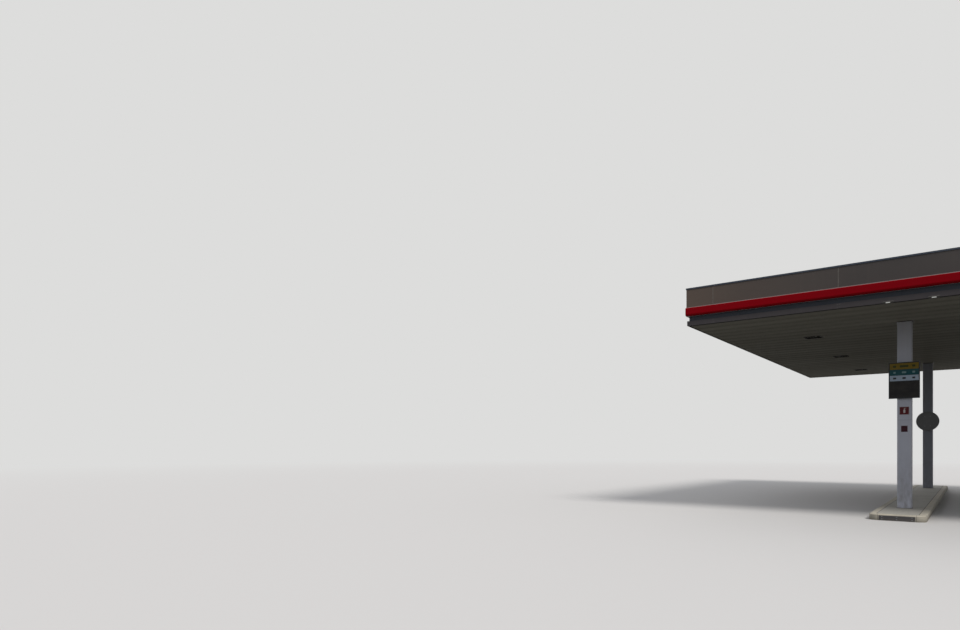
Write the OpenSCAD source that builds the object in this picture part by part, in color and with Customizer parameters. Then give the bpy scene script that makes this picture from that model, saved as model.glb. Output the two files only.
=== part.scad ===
// Filling station canopy on two rows of columns, all sizes in mm.
// X runs along the front fascia, Y from front to back, Z up from the ground.
// The origin is on the ground under the middle of the whole canopy.

/* [Roof] */
// Width of the roof between the faces of its side fascias
canopy_w = 19000; // [16000:100:24000]
// Depth of the roof between the faces of its front and back fascias
canopy_d = 16400; // [14000:100:20000]
// Clear height from the ground to the ceiling
clear_h = 5030; // [4200:10:6000]

/* [Columns] */
// Distance of each column row from the roof's end
row_in = 4750; // [3000:50:6000]
// Distance of the columns from the front and back fascias
column_in = 2940; // [2000:20:4500]
// Outside width of the square column casing
casing_w = 320; // [290:2:400]
// Corner radius of the casing
casing_r = 18; // [6:1:30]
// Sheet thickness of the casing
casing_t = 4; // [3:0.5:8]
// Clearance between the casing and the post's cap plate
casing_head_gap = 11; // [5:1:15]
// Width and depth of the H-section post inside the casing
post_w = 200; // [160:5:220]
// Flange thickness of the post
post_flange = 15; // [10:1:20]
// Web thickness of the post
post_web = 9; // [7:1:14]
// Root radius of the post
post_root = 18; // [10:1:24]
// Width of the square base plate
base_w = 420; // [380:5:460]
// Thickness of the base plate
base_t = 30; // [20:1:40]
// Distance between the anchor holes of a base plate
anchor_pitch = 340; // [300:5:360]
// Diameter of an anchor hole
anchor_d = 27; // [18:1:33]
// Thickness of the cap plate under the main beam
cap_t = 25; // [15:1:30]

/* [Islands] */
// Width of a column island
island_w = 1150; // [900:10:1600]
// Height of the island above the ground
island_h = 150; // [120:5:200]
// Distance of the island's ends from the front and back fascias
island_in = 700; // [200:50:1400]
// Width of the island's kerb
kerb_w = 150; // [100:5:180]
// Outside corner radius of the kerb
kerb_r = 190; // [181:1:260]
// Size of the bevel on the kerb's outer edge
kerb_bevel = 22; // [10:1:40]
// Height of the pocket for a base plate
pocket_h = 100; // [70:1:110]
// Clearance round a base plate in its pocket
pocket_gap = 15; // [5:1:40]
// Width of the plate on an island's nose
nose_plate_w = 720; // [400:10:740]
// Height of the plate on an island's nose
nose_plate_h = 105; // [60:1:110]
// Thickness of the plate on an island's nose
nose_plate_t = 6; // [4:1:12]

/* [Steel frame] */
// Depth of the two main beams
main_h = 400; // [300:10:500]
// Flange width of the main beams
main_b = 200; // [160:5:260]
// Flange thickness of the main beams
main_flange = 16; // [10:1:24]
// Web thickness of the main beams
main_web = 10; // [7:1:14]
// Root radius of the main beams
main_root = 21; // [10:1:27]
// Thickness of the plates that stiffen a main beam over a post's flanges
stiffener_t = 12; // [8:1:20]
// Depth of the cross beams and edge channels
cross_h = 200; // [160:5:260]
// Flange width of the cross beams
cross_b = 100; // [80:5:140]
// Flange thickness of the cross beams
cross_flange = 9; // [6:1:14]
// Web thickness of the cross beams
cross_web = 6; // [4:1:10]
// Root radius of the cross beams
cross_root = 12; // [6:1:18]
// Thickness of the plate on each end of a cross beam
end_plate_t = 10; // [6:1:20]
// Width by which an end plate stands out from the beam's flanges
end_plate_out = 20; // [5:1:40]
// Number of cross beams in each half of the roof
cross_n = 4; // [3:1:6]
// Flange width of the edge channels
channel_b = 75; // [60:5:100]

/* [Roof deck] */
// Spacing of the deck's ribs
rib_pitch = 333; // [200:1:400]
// Height of the deck's ribs
rib_h = 45; // [30:1:60]
// Width of a rib's flat top
rib_top = 110; // [60:1:130]
// Run of a rib's sloping side
rib_side = 28; // [10:1:40]
// Sheet thickness of the deck, gutter and flashings
sheet_t = 3; // [2:0.5:6]
// Inside width of the valley gutter
gutter_w = 300; // [200:5:320]
// Depth of the valley gutter
gutter_h = 120; // [80:5:160]
// Outside diameter of a gutter outlet
outlet_d = 110; // [80:1:140]
// Width of the gutter's lip that lies on the cross beam beside it
gutter_seat = 20; // [10:1:40]
// Length of a gutter outlet below the gutter
outlet_l = 120; // [60:5:200]
// Clearance between a gutter outlet and the main beam beside it
outlet_gap = 25; // [10:1:60]
// Width of the flashing's foot on the deck's ribs
flashing_foot = 120; // [60:5:160]
// Share of the height from the deck to the coping that the flashing's upstand takes
flashing_share = 0.7; // [0.5:0.05:0.9]

/* [Fascia] */
// Height of the fascia panels
fascia_h = 480; // [300:5:700]
// Depth of a fascia panel's folded edges
fascia_d = 40; // [30:1:60]
// Sheet thickness of a fascia panel
fascia_t = 4; // [2:0.5:6]
// Width of the short panel at each end of a side
end_panel_w = 710; // [500:10:1200]
// Number of whole panels on the front and on the back
front_panel_n = 6; // [4:1:10]
// Number of whole panels on each end of the roof
side_panel_n = 5; // [3:1:8]
// Joint between two fascia panels
panel_gap = 12; // [4:1:20]
// Height of the coping's edges
coping_h = 35; // [25:1:60]
// Overhang of the coping in front of the fascia
coping_out = 12; // [5:1:30]
// Sheet thickness of the coping
coping_t = 4; // [2:0.5:6]
// Height of the coloured band
band_h = 220; // [150:5:320]
// Distance that the band stands out from the fascia
band_out = 80; // [50:1:120]
// Radius of the band's lower edge
band_low_r = 56; // [20:1:58]
// Radius of the band's upper edge
band_top_r = 22; // [8:1:30]
// Wall thickness of the band
band_t = 4; // [3:0.5:8]
// Height of the trim between the band and the fascia
band_trim_h = 25; // [15:1:40]
// Distance that this trim stands out from the fascia
band_trim_out = 6; // [2:1:20]
// Height of the recess under the band
recess_h = 125; // [80:1:200]
// Distance of the recess behind the fascia's face
recess_in = 60; // [40:1:70]
// Height of the trim round the ceiling's edge
edge_trim_h = 125; // [80:1:200]
// Distance of this trim behind the fascia's face
edge_trim_in = 15; // [5:1:25]
// Width of the foot that this trim turns under the ceiling
edge_trim_foot = 33; // [20:1:40]
// Thickness of the recess sheet and of the ceiling's edge trim
skirt_t = 4; // [3:0.5:6]
// Width of a fascia post
fascia_post_w = 60; // [50:2:80]
// Width of a rail that carries the fascia panels
rail_h = 50; // [40:2:60]
// Wall thickness of the fascia posts and rails
tube_t = 4; // [3:0.5:6]

/* [Ceiling] */
// Number of ceiling planks from front to back
plank_n = 29; // [20:1:40]
// Height of a plank's folded edges
plank_h = 40; // [25:1:60]
// Sheet thickness of a plank
plank_t = 4; // [2:0.5:6]
// Bending radius of a plank's lower edges
plank_r = 12; // [5:1:20]
// Joint between two planks
plank_gap = 8; // [4:1:16]
// Joint between the planks and the trim round them
ceiling_joint = 12; // [6:1:30]
// Height and width of the carriers above the planks
carrier_w = 40; // [30:1:50]
// Diameter of a hanger rod
hanger_d = 12; // [8:1:20]
// Clearance between a column casing and the planks
casing_gap = 6; // [3:1:15]

/* [Lights] */
// Distance of the first row of ceiling lamps from the front fascia
lamp_first = 4100; // [3400:50:5000]
// Distance between the rows of ceiling lamps
lamp_pitch = 5050; // [3800:50:6000]
// Width of a square ceiling lamp
lamp_w = 420; // [300:5:500]
// Width of the lamp's rim under the ceiling
lamp_rim = 22; // [10:1:40]
// Thickness of the lamp's rim
lamp_rim_t = 6; // [3:1:12]
// Depth of the lamp's pan below which its glass lies
lamp_pan_h = 70; // [50:1:78]
// Distance of the lamp's glass above its rim
lamp_glass_up = 12; // [6:1:25]
// Length of the gear box on a lamp's pan
gear_l = 260; // [150:5:400]
// Width of the gear box
gear_w = 110; // [60:5:200]
// Height of the gear box
gear_h = 60; // [40:1:90]
// Length of a spotlight on the front edge
spot_l = 220; // [160:10:400]
// Height of a spotlight
spot_h = 50; // [40:1:80]
// Distance that a spotlight stands out from the edge trim
spot_out = 46; // [30:1:60]
// Height by which a spotlight hangs below the ceiling
spot_down = 18; // [0:1:20]
// Place of the first spotlight beside each column row
spot_first = -110; // [-400:10:0]
// Place of the second spotlight beside each column row
spot_second = 750; // [350:10:1200]

/* [Signs] */
// Width of the information panel
panel_w = 680; // [400:10:900]
// Height of the information panel
panel_h = 940; // [500:10:1200]
// Thickness of the information panel
panel_t = 55; // [30:1:90]
// Height of the panel's lower edge above the ground
panel_z = 3010; // [2900:10:3800]
// Width of the panel's raised frame
panel_frame = 18; // [8:1:40]
// Depth of the panel's face inside its frame
panel_recess = 6; // [2:1:12]
// Distance between the panel and its column
panel_standoff = 30; // [15:1:60]
// Width of the upper sign plate
sign_w = 210; // [100:5:260]
// Height of the upper sign plate
sign_h = 205; // [100:5:260]
// Height of the upper sign plate's lower edge above the ground
sign_z = 2590; // [2500:10:2650]
// Width of the lower sign plate
tag_w = 140; // [80:5:200]
// Height of the lower sign plate
tag_h = 160; // [80:5:200]
// Height of the lower sign plate's lower edge above the ground
tag_z = 2140; // [1700:10:2290]
// Thickness of the sign plates
sign_t = 4; // [2:0.5:8]
// Diameter of the round plate on the back columns
disc_d = 750; // [500:10:900]
// Height of the round plate's centre above the ground
disc_z = 2760; // [2200:10:3600]
// Depth of the round plate's turned rim
disc_rim = 24; // [15:1:40]
// Sheet thickness of the round plate
disc_t = 4; // [3:0.5:6]
// Distance between the round plate's rim and its column
disc_standoff = 30; // [15:1:60]

/* [Hidden] */
$fn = 48;

// Seat clearance where two pieces of concrete or steel stand side by side
seat = 0.3;
// Gap where two lengths of one trim meet at a corner
mitre_gap = 4;
// Clearance at the ends of the beams, the deck and the gutter
frame_gap = 5;
// Height of the fascia posts' feet above the ceiling's edge trim
post_foot_up = 20;
// Length by which a cutting shape reaches past what it cuts
past = 1;
// Angles of the four sides, each seen as the front is
FRONT = 0;
RIGHT = 90;
BACK = 180;
LEFT = 270;
// The band stands out on the right, but on the left only the coping does
roof_x = (coping_out - band_out) / 2;

// Heights, from the ceiling up
carrier_z = clear_h + plank_h;
main_z = carrier_z + carrier_w;
cross_z = main_z + main_h;
deck_z = cross_z + cross_h;
edge_trim_top = clear_h + edge_trim_h;
band_z = edge_trim_top + recess_h;
band_top = band_z + band_h;
fascia_z = band_top + band_trim_h;
fascia_top = fascia_z + fascia_h;
roof_top = fascia_top + coping_h + coping_t;

// Distances behind the fascia's face
post_in = fascia_d + rail_h;
channel_in = post_in + fascia_post_w;
frame_in = channel_in + channel_b;
planks_in = edge_trim_in + edge_trim_foot + ceiling_joint;

// Places of the columns and of what stands with them
row_x = canopy_w / 2 - row_in;
column_y = canopy_d / 2 - column_in;
island_l = canopy_d - 2 * island_in;

// Cross beams lie on both sides of the gutter and share the rest of the roof evenly
cross_first = gutter_w / 2 + sheet_t + cross_b;
cross_last = canopy_d / 2 - channel_in - channel_b / 2;
cross_pitch = (cross_last - cross_first) / cross_n;
cross_y = [for (half = [-1, 1], i = [0 : cross_n - 1]) half * (cross_first + i * cross_pitch)];

// Ceiling carriers and lamps share the bays between the column rows
bay_w = 2 * row_x;
carrier_x = concat([for (end = [-1, 1], part = [0.25, 0.75]) end * (canopy_w / 2 - part * row_in)],
                   [for (part = [0.125 : 0.25 : 0.875]) bay_w * (part - 0.5)]);
lamp_x = [-canopy_w / 2 + row_in / 2, -bay_w / 4, bay_w / 4, canopy_w / 2 - row_in / 2];
lamp_rows = floor((canopy_d - lamp_first - lamp_w - planks_in) / lamp_pitch);
lamp_y = [for (i = [0 : lamp_rows]) -canopy_d / 2 + lamp_first + i * lamp_pitch];

plank_pitch = (canopy_d - 2 * planks_in) / plank_n;
plank_third = round(plank_n / 3);

STEEL = "#8d9093";
CONCRETE = "#a9a69f";
GREY = "#7a7672";
RED = "#c4001e";
WHITE = "#d9dad8";
DARK = "#3b4046";

function side_length(side) = side % 180 == 0 ? canopy_w : canopy_d;
function side_offset(side) = side % 180 == 0 ? canopy_d / 2 : canopy_w / 2;
function panel_count(side) = side % 180 == 0 ? front_panel_n : side_panel_n;
// Joints between the fascia panels of a side, measured along it from its middle
function panel_joints(side) =
    let (run = side_length(side) / 2 - end_panel_w, n = panel_count(side))
    [for (i = [0 : n]) -run + i * 2 * run / n];

// Puts the roof's middle where the whole canopy is centred
module at_roof() {
    translate([roof_x, 0, 0]) children();
}

// Turns what is drawn for the front, with Y = 0 at the fascia's face, onto a side
module on_side(side) {
    rotate([0, 0, side]) translate([0, -side_offset(side), 0]) children();
}

// Ground plan of a length of trim: mitred at its corners, or cut square
module mitre_plan(side, gap, square_start, square_end) {
    half = side_length(side) / 2 - gap;
    reach = 400;
    start = square_start ? 0 : 1;
    end = square_end ? 0 : 1;
    polygon([[-half - start * reach, -reach], [half + end * reach, -reach],
             [half - end * reach, reach], [-half + start * reach, reach]]);
}

// Profile with X as the distance behind the fascia's face and Y as the height, run along a side
module run(side, gap = mitre_gap / 2, square_start = false, square_end = false) {
    on_side(side) intersection() {
        rotate([90, 0, 90]) linear_extrude(side_length(side) + 2 * band_out + 20, center = true)
            children();
        linear_extrude(roof_top + 100) mitre_plan(side, gap, square_start, square_end);
    }
}

module rounded_square(w, r) {
    square([w - 2 * r, w], center = true);
    square([w, w - 2 * r], center = true);
    for (x = [-1, 1], y = [-1, 1]) translate([x, y] * (w / 2 - r)) circle(r);
}

// Square corner that a round of radius r leaves over
module corner_waste(r) {
    difference() {
        translate([-1, -1]) square(r + 1);
        translate([r, r]) circle(r);
    }
}

module root(r) {
    difference() {
        square(r);
        translate([r, r]) circle(r);
    }
}

// Both plates that stiffen the web of a beam section, cut back round its root radii
module stiffener_section(h, b, flange, web, radius) {
    w = (b - web) / 2;
    inner_h = h - 2 * flange;
    for (x = [0, 1]) mirror([x, 0]) translate([web / 2, flange])
        polygon([[radius, 0], [w, 0], [w, inner_h], [radius, inner_h],
                 [0, inner_h - radius], [0, radius]]);
}

// Rolled beam section standing on Y = 0
module beam_section(h, b, flange, web, radius) {
    translate([-b / 2, 0]) square([b, flange]);
    translate([-b / 2, h - flange]) square([b, flange]);
    translate([-web / 2, 0]) square([web, h]);
    for (x = [0, 1]) mirror([x, 0]) translate([web / 2, 0]) {
        translate([0, flange]) root(radius);
        translate([0, h - flange]) mirror([0, 1]) root(radius);
    }
}

module box_section(u, z, w, h) {
    translate([u, z]) difference() {
        square([w, h]);
        translate([tube_t, tube_t]) square([w - 2 * tube_t, h - 2 * tube_t]);
    }
}

// Islands
module kerb_profile() {
    difference() {
        square([kerb_w, island_h]);
        translate([kerb_w, island_h]) rotate(45)
            square([kerb_bevel * sqrt(2), 4 * kerb_bevel], center = true);
    }
}

module kerb(row) {
    straight_x = island_w / 2 - kerb_r;
    straight_y = island_l / 2 - kerb_r;
    at_roof() translate([row * row_x, 0, 0]) color(CONCRETE) {
        for (x = [0, 1], y = [0, 1]) mirror([x, 0, 0]) mirror([0, y, 0])
            translate([straight_x, straight_y, 0]) rotate_extrude(angle = 90)
                translate([kerb_r - kerb_w, 0]) kerb_profile();
        for (x = [0, 1]) mirror([x, 0, 0]) translate([island_w / 2 - kerb_w, 0, 0])
            rotate([90, 0, 0]) linear_extrude(2 * straight_y, center = true) kerb_profile();
        for (y = [0, 1]) mirror([0, y, 0]) translate([0, island_l / 2 - kerb_w, 0])
            rotate([90, 0, 90]) linear_extrude(2 * straight_x, center = true) kerb_profile();
    }
}

module infill_plan() {
    inner_r = kerb_r - kerb_w - seat;
    inner_x = island_w / 2 - kerb_w - seat;
    inner_y = island_l / 2 - kerb_w - seat;
    square([2 * (inner_x - inner_r), 2 * inner_y], center = true);
    square([2 * inner_x, 2 * (inner_y - inner_r)], center = true);
    for (x = [-1, 1], y = [-1, 1])
        translate([x * (inner_x - inner_r), y * (inner_y - inner_r)]) circle(inner_r);
}

module infill(row) {
    pocket_w = base_w + 2 * pocket_gap;
    at_roof() translate([row * row_x, 0, 0]) color(CONCRETE) difference() {
        linear_extrude(island_h) infill_plan();
        for (y = [-1, 1]) translate([0, y * column_y, 0]) {
            translate([-pocket_w / 2, -pocket_w / 2, -past])
                cube([pocket_w, pocket_w, pocket_h + past]);
            translate([0, 0, -past]) linear_extrude(island_h + 2 * past)
                rounded_square(casing_w + 2 * seat, casing_r + seat);
        }
    }
}

module nose_plates() {
    plate_z = (island_h - kerb_bevel - nose_plate_h) / 2;
    at_roof() color(GREY) for (row = [-1, 1])
        translate([row * row_x - nose_plate_w / 2, -island_l / 2 - nose_plate_t, plate_z])
            cube([nose_plate_w, nose_plate_t, nose_plate_h]);
}

// Columns
module at_column(row, end) {
    at_roof() translate([row * row_x, end * column_y, 0]) children();
}

module post(row, end) {
    at_column(row, end) color(STEEL) {
        difference() {
            translate([-base_w / 2, -base_w / 2, 0]) cube([base_w, base_w, base_t]);
            for (x = [-1, 1], y = [-1, 1])
                translate([x * anchor_pitch / 2, y * anchor_pitch / 2, -past])
                    cylinder(d = anchor_d, h = base_t + 2 * past);
        }
        translate([0, 0, base_t]) linear_extrude(main_z - cap_t - base_t)
            translate([0, -post_w / 2])
                beam_section(post_w, post_w, post_flange, post_web, post_root);
        translate([-main_b / 2, -post_w / 2, main_z - cap_t]) cube([main_b, post_w, cap_t]);
    }
}

// The casing stands on the base plate, and the island's concrete closes round it
module casing(row, end) {
    at_column(row, end) color(WHITE) translate([0, 0, base_t])
        linear_extrude(main_z - cap_t - casing_head_gap - base_t) difference() {
            rounded_square(casing_w, casing_r);
            rounded_square(casing_w - 2 * casing_t, casing_r - casing_t);
        }
}

// Steel frame
module main_beam(row) {
    over_flange = (post_w - post_flange) / 2;
    at_roof() color(STEEL) translate([row * row_x, 0, main_z]) {
        rotate([90, 0, 0]) linear_extrude(canopy_d - 2 * (channel_in + frame_gap), center = true)
            beam_section(main_h, main_b, main_flange, main_web, main_root);
        for (end = [-1, 1], side = [-1, 1])
            translate([0, end * column_y + side * over_flange, 0]) rotate([90, 0, 0])
                linear_extrude(stiffener_t, center = true)
                    stiffener_section(main_h, main_b, main_flange, main_web, main_root);
    }
}

module cross_beams() {
    length = canopy_w - 2 * frame_in;
    plate_w = cross_b + 2 * end_plate_out;
    at_roof() color(STEEL) for (y = cross_y) translate([0, y, cross_z]) {
        rotate([90, 0, 90]) linear_extrude(length, center = true)
            beam_section(cross_h, cross_b, cross_flange, cross_web, cross_root);
        for (end = [-1, 1]) translate([end * (length - end_plate_t) / 2, 0, cross_h / 2])
            cube([end_plate_t, plate_w, cross_h], center = true);
    }
}

module channel_profile() {
    translate([channel_in, cross_z]) {
        square([channel_b, cross_flange]);
        translate([0, cross_h - cross_flange]) square([channel_b, cross_flange]);
        translate([channel_b - cross_web, 0]) square([cross_web, cross_h]);
        translate([channel_b - cross_web, cross_flange]) mirror([1, 0]) root(cross_root);
        translate([channel_b - cross_web, cross_h - cross_flange]) rotate(180) root(cross_root);
    }
}

module edge_channels() {
    at_roof() color(STEEL) for (side = [FRONT, RIGHT, BACK, LEFT]) run(side) channel_profile();
}

// Roof deck: one trapezoidal sheet on each side of the gutter
deck_w = canopy_w - 2 * (channel_in + frame_gap);
rib_n = floor((deck_w - rib_pitch) / rib_pitch);
deck_half = deck_w / 2;
function rib_line(up) = concat(
    [[-deck_half, up]],
    [for (i = [0 : rib_n - 1])
        let (x = (i - (rib_n - 1) / 2) * rib_pitch)
        for (p = [[-rib_top / 2 - rib_side, 0], [-rib_top / 2, rib_h],
                  [rib_top / 2, rib_h], [rib_top / 2 + rib_side, 0]]) [x + p[0], p[1] + up]],
    [[deck_half, up]]);
function reversed(points) = [for (i = [len(points) - 1 : -1 : 0]) points[i]];
deck_joint = 1;
gutter_lip = gutter_w / 2 + sheet_t + cross_b / 2 + gutter_seat;
outlet_x = row_x - main_b / 2 - outlet_gap - outlet_d / 2;
deck_l = canopy_d / 2 - channel_in - frame_gap - gutter_lip - deck_joint;

module roof_deck(half) {
    at_roof() color("silver") translate([0, half * (gutter_lip + deck_joint + deck_l / 2), deck_z])
        rotate([90, 0, 0]) linear_extrude(deck_l, center = true)
            polygon(concat(rib_line(0), reversed(rib_line(sheet_t))));
}

module gutter_profile() {
    inside = gutter_w / 2;
    outside = inside + sheet_t;
    polygon([[-gutter_lip, 0], [-outside, 0], [-outside, -gutter_h], [outside, -gutter_h],
             [outside, 0], [gutter_lip, 0], [gutter_lip, sheet_t], [inside, sheet_t],
             [inside, sheet_t - gutter_h], [-inside, sheet_t - gutter_h], [-inside, sheet_t],
             [-gutter_lip, sheet_t]]);
}

module gutter() {
    length = canopy_w - 2 * (frame_in + frame_gap);
    outside = gutter_w / 2 + sheet_t;
    at_roof() color("silver") difference() {
        union() {
            translate([0, 0, deck_z]) rotate([90, 0, 90]) linear_extrude(length, center = true)
                gutter_profile();
            for (end = [-1, 1]) translate([end * (length - sheet_t) / 2, 0, deck_z - gutter_h / 2])
                cube([sheet_t, 2 * outside, gutter_h], center = true);
            for (row = [-1, 1]) translate([row * outlet_x, 0, deck_z - gutter_h - outlet_l])
                cylinder(d = outlet_d, h = outlet_l + sheet_t);
        }
        for (row = [-1, 1]) translate([row * outlet_x, 0, deck_z - gutter_h - outlet_l - past])
            cylinder(d = outlet_d - 2 * sheet_t, h = outlet_l + 2 * sheet_t + 2 * past);
    }
}

module flashing_profile() {
    foot_z = deck_z + rib_h + sheet_t;
    translate([channel_in, foot_z]) {
        square([flashing_foot, sheet_t]);
        square([sheet_t, (fascia_top - foot_z) * flashing_share]);
    }
}

module roof_flashings() {
    at_roof() color("silver") for (side = [FRONT, RIGHT, BACK, LEFT]) run(side) flashing_profile();
}

// Fascia
module fascia_posts() {
    bottom = edge_trim_top + post_foot_up;
    at_roof() color(STEEL) for (side = [FRONT, RIGHT, BACK, LEFT]) on_side(side)
        for (x = panel_joints(side))
            translate([x - fascia_post_w / 2, post_in, bottom])
                linear_extrude(roof_top - coping_t - bottom) difference() {
                    square(fascia_post_w);
                    translate([tube_t, tube_t]) square(fascia_post_w - 2 * tube_t);
                }
}

module fascia_rails() {
    recess_back = recess_in + skirt_t;
    recess_rail_h = recess_h / 2;
    at_roof() color(STEEL) for (side = [FRONT, RIGHT, BACK, LEFT]) {
        run(side) box_section(recess_back, band_z - (recess_h + recess_rail_h) / 2,
                              post_in - recess_back, recess_rail_h);
        run(side) box_section(0, band_z, post_in, band_h);
        run(side) box_section(fascia_d, fascia_z + rail_h, rail_h, rail_h);
        run(side) box_section(fascia_d, fascia_top - 2 * rail_h, rail_h, rail_h);
    }
}

// One folded tray from start to end along the side, open at its back
module fascia_tray(start, end) {
    translate([start, 0, fascia_z]) difference() {
        cube([end - start, fascia_d, fascia_h]);
        translate([fascia_t, fascia_t, fascia_t])
            cube([end - start - 2 * fascia_t, fascia_d, fascia_h - 2 * fascia_t]);
    }
}

module fascia(side) {
    half = side_length(side) / 2;
    joints = panel_joints(side);
    at_roof() color(GREY) {
        on_side(side) for (i = [0 : len(joints) - 2])
            fascia_tray(joints[i] + panel_gap / 2, joints[i + 1] - panel_gap / 2);
        on_side(side) intersection() {
            union() {
                fascia_tray(-half - fascia_d, joints[0] - panel_gap / 2);
                fascia_tray(joints[len(joints) - 1] + panel_gap / 2, half + fascia_d);
            }
            linear_extrude(roof_top) mitre_plan(side, mitre_gap / 2, false, false);
        }
    }
}

module coping_profile() {
    outer = -coping_out;
    inner = channel_in + coping_out;
    low = roof_top - coping_h - coping_t;
    under = roof_top - coping_t;
    polygon([[outer, low], [outer, roof_top], [inner, roof_top], [inner, low],
             [inner - coping_t, low], [inner - coping_t, under],
             [outer + coping_t, under], [outer + coping_t, low]]);
}

module coping() {
    at_roof() color(DARK) for (side = [FRONT, RIGHT, BACK, LEFT]) run(side) coping_profile();
}

module band_profile(inset) {
    w = band_out - inset;
    h = band_h - 2 * inset;
    translate([-w, band_z + inset]) difference() {
        square([w, h]);
        corner_waste(band_low_r - inset);
        translate([0, h]) mirror([0, 1]) corner_waste(band_top_r - inset);
    }
}

// Hollow band with an open back; an end that meets no other band is closed
module band(side, square_start = false, square_end = false) {
    at_roof() color(RED) difference() {
        run(side, seat / 2, square_start, square_end) band_profile(0);
        run(side, band_t, square_start, square_end) band_profile(band_t);
        if (!square_start) band_core_end(side, -1);
        if (!square_end) band_core_end(side, 1);
    }
}

// Opens the hollow to the mitre, where the next band goes on
module band_core_end(side, end) {
    half = side_length(side) / 2;
    on_side(side) intersection() {
        translate([end * half, 0, 0]) rotate([90, 0, 90])
            linear_extrude(4 * band_out, center = true) band_profile(band_t);
        linear_extrude(roof_top) mitre_plan(side, 0, false, false);
    }
}

module band_trim() {
    at_roof() color(WHITE) for (side = [FRONT, RIGHT, BACK, LEFT]) run(side)
        translate([-band_trim_out, band_top]) square([band_trim_out + fascia_d, band_trim_h]);
}

// Skirt under the band
module recess() {
    at_roof() color(DARK) for (side = [FRONT, RIGHT, BACK, LEFT]) run(side) {
        translate([recess_in, edge_trim_top - skirt_t])
            square([skirt_t, recess_h + skirt_t]);
        translate([edge_trim_in + skirt_t, edge_trim_top - skirt_t])
            square([recess_in - edge_trim_in, skirt_t]);
    }
}

module edge_trim() {
    at_roof() color(WHITE) for (side = [FRONT, RIGHT, BACK, LEFT]) run(side)
        translate([edge_trim_in, clear_h]) {
            square([skirt_t, edge_trim_h]);
            square([edge_trim_foot, skirt_t]);
        }
}

// Ceiling
module plank_outline(inset) {
    w = plank_pitch - plank_gap - 2 * inset;
    translate([-w / 2, inset]) difference() {
        square([w, plank_h]);
        corner_waste(plank_r - inset);
        translate([w, 0]) mirror([1, 0]) corner_waste(plank_r - inset);
    }
}

module plank_profile() {
    difference() {
        plank_outline(0);
        plank_outline(plank_t);
    }
}

module ceiling(first, last) {
    hole_w = casing_w + 2 * casing_gap;
    at_roof() color(WHITE) difference() {
        for (i = [first : last])
            translate([0, -canopy_d / 2 + planks_in + (i + 0.5) * plank_pitch, clear_h])
                rotate([90, 0, 90]) linear_extrude(canopy_w - 2 * planks_in, center = true)
                    plank_profile();
        for (x = [-1, 1], y = [-1, 1])
            translate([x * row_x, y * column_y, clear_h])
                cube([hole_w, hole_w, 3 * plank_h], center = true);
        for (x = lamp_x, y = lamp_y) translate([x, y, clear_h])
            cube([lamp_w + 2 * seat, lamp_w + 2 * seat, 3 * plank_h], center = true);
    }
}

module carriers() {
    wing = carrier_w / 2;
    at_roof() color(STEEL) for (x = carrier_x) translate([x, 0, carrier_z]) rotate([90, 0, 0])
        linear_extrude(canopy_d - 2 * channel_in, center = true)
            polygon([[-carrier_w, 0], [-wing + plank_t, 0], [-wing + plank_t, carrier_w - plank_t],
                     [wing - plank_t, carrier_w - plank_t], [wing - plank_t, 0], [carrier_w, 0],
                     [carrier_w, plank_t], [wing, plank_t], [wing, carrier_w], [-wing, carrier_w],
                     [-wing, plank_t], [-carrier_w, plank_t]]);
}

module hangers() {
    at_roof() color(STEEL) for (x = carrier_x, y = cross_y)
        translate([x, y, main_z]) cylinder(d = hanger_d, h = cross_z - main_z);
}

// Lights
module lamps() {
    rim_w = lamp_w + 2 * lamp_rim;
    at_roof() color(DARK) for (x = lamp_x, y = lamp_y)
        translate([x, y, clear_h]) difference() {
            union() {
                translate([-rim_w / 2, -rim_w / 2, -lamp_rim_t]) cube([rim_w, rim_w, lamp_rim_t]);
                translate([-lamp_w / 2, -lamp_w / 2, -lamp_rim_t])
                    cube([lamp_w, lamp_w, lamp_pan_h + lamp_rim_t]);
                translate([-gear_l / 2, -gear_w / 2, 0]) cube([gear_l, gear_w, lamp_pan_h + gear_h]);
            }
            translate([-lamp_w / 2 + plank_t, -lamp_w / 2 + plank_t, -lamp_rim_t - past])
                cube([lamp_w - 2 * plank_t, lamp_w - 2 * plank_t,
                      lamp_pan_h - plank_t + lamp_rim_t + past]);
        }
}

module lamp_glasses() {
    glass_w = lamp_w - 2 * plank_t - 2 * seat;
    at_roof() color(DARK) for (x = lamp_x, y = lamp_y)
        translate([x - glass_w / 2, y - glass_w / 2, clear_h - lamp_rim_t + lamp_glass_up])
            cube([glass_w, glass_w, plank_t]);
}

// Body with round ends, whose front slopes back below its widest line
module spot_body() {
    intersection() {
        rotate([90, 0, 90]) linear_extrude(spot_l, center = true)
            polygon([[0, 0], [0, spot_h], [-spot_out * 0.6, spot_h],
                     [-spot_out, spot_h * 0.6], [-spot_out * 0.6, 0]]);
        rotate([90, 0, 0]) linear_extrude(spot_out) {
            translate([0, spot_h / 2]) square([spot_l - spot_h, spot_h], center = true);
            for (end = [-1, 1]) translate([end * (spot_l - spot_h) / 2, spot_h / 2])
                circle(d = spot_h);
        }
    }
}

module spotlights() {
    at_roof() color(WHITE) for (row = [-1, 1], place = [spot_first, spot_second])
        translate([row * row_x + place, -canopy_d / 2 + edge_trim_in, clear_h - spot_down]) spot_body();
}

// Signs
module on_column_face(row, end) {
    at_column(row, end) translate([0, -casing_w / 2, 0]) children();
}

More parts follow.
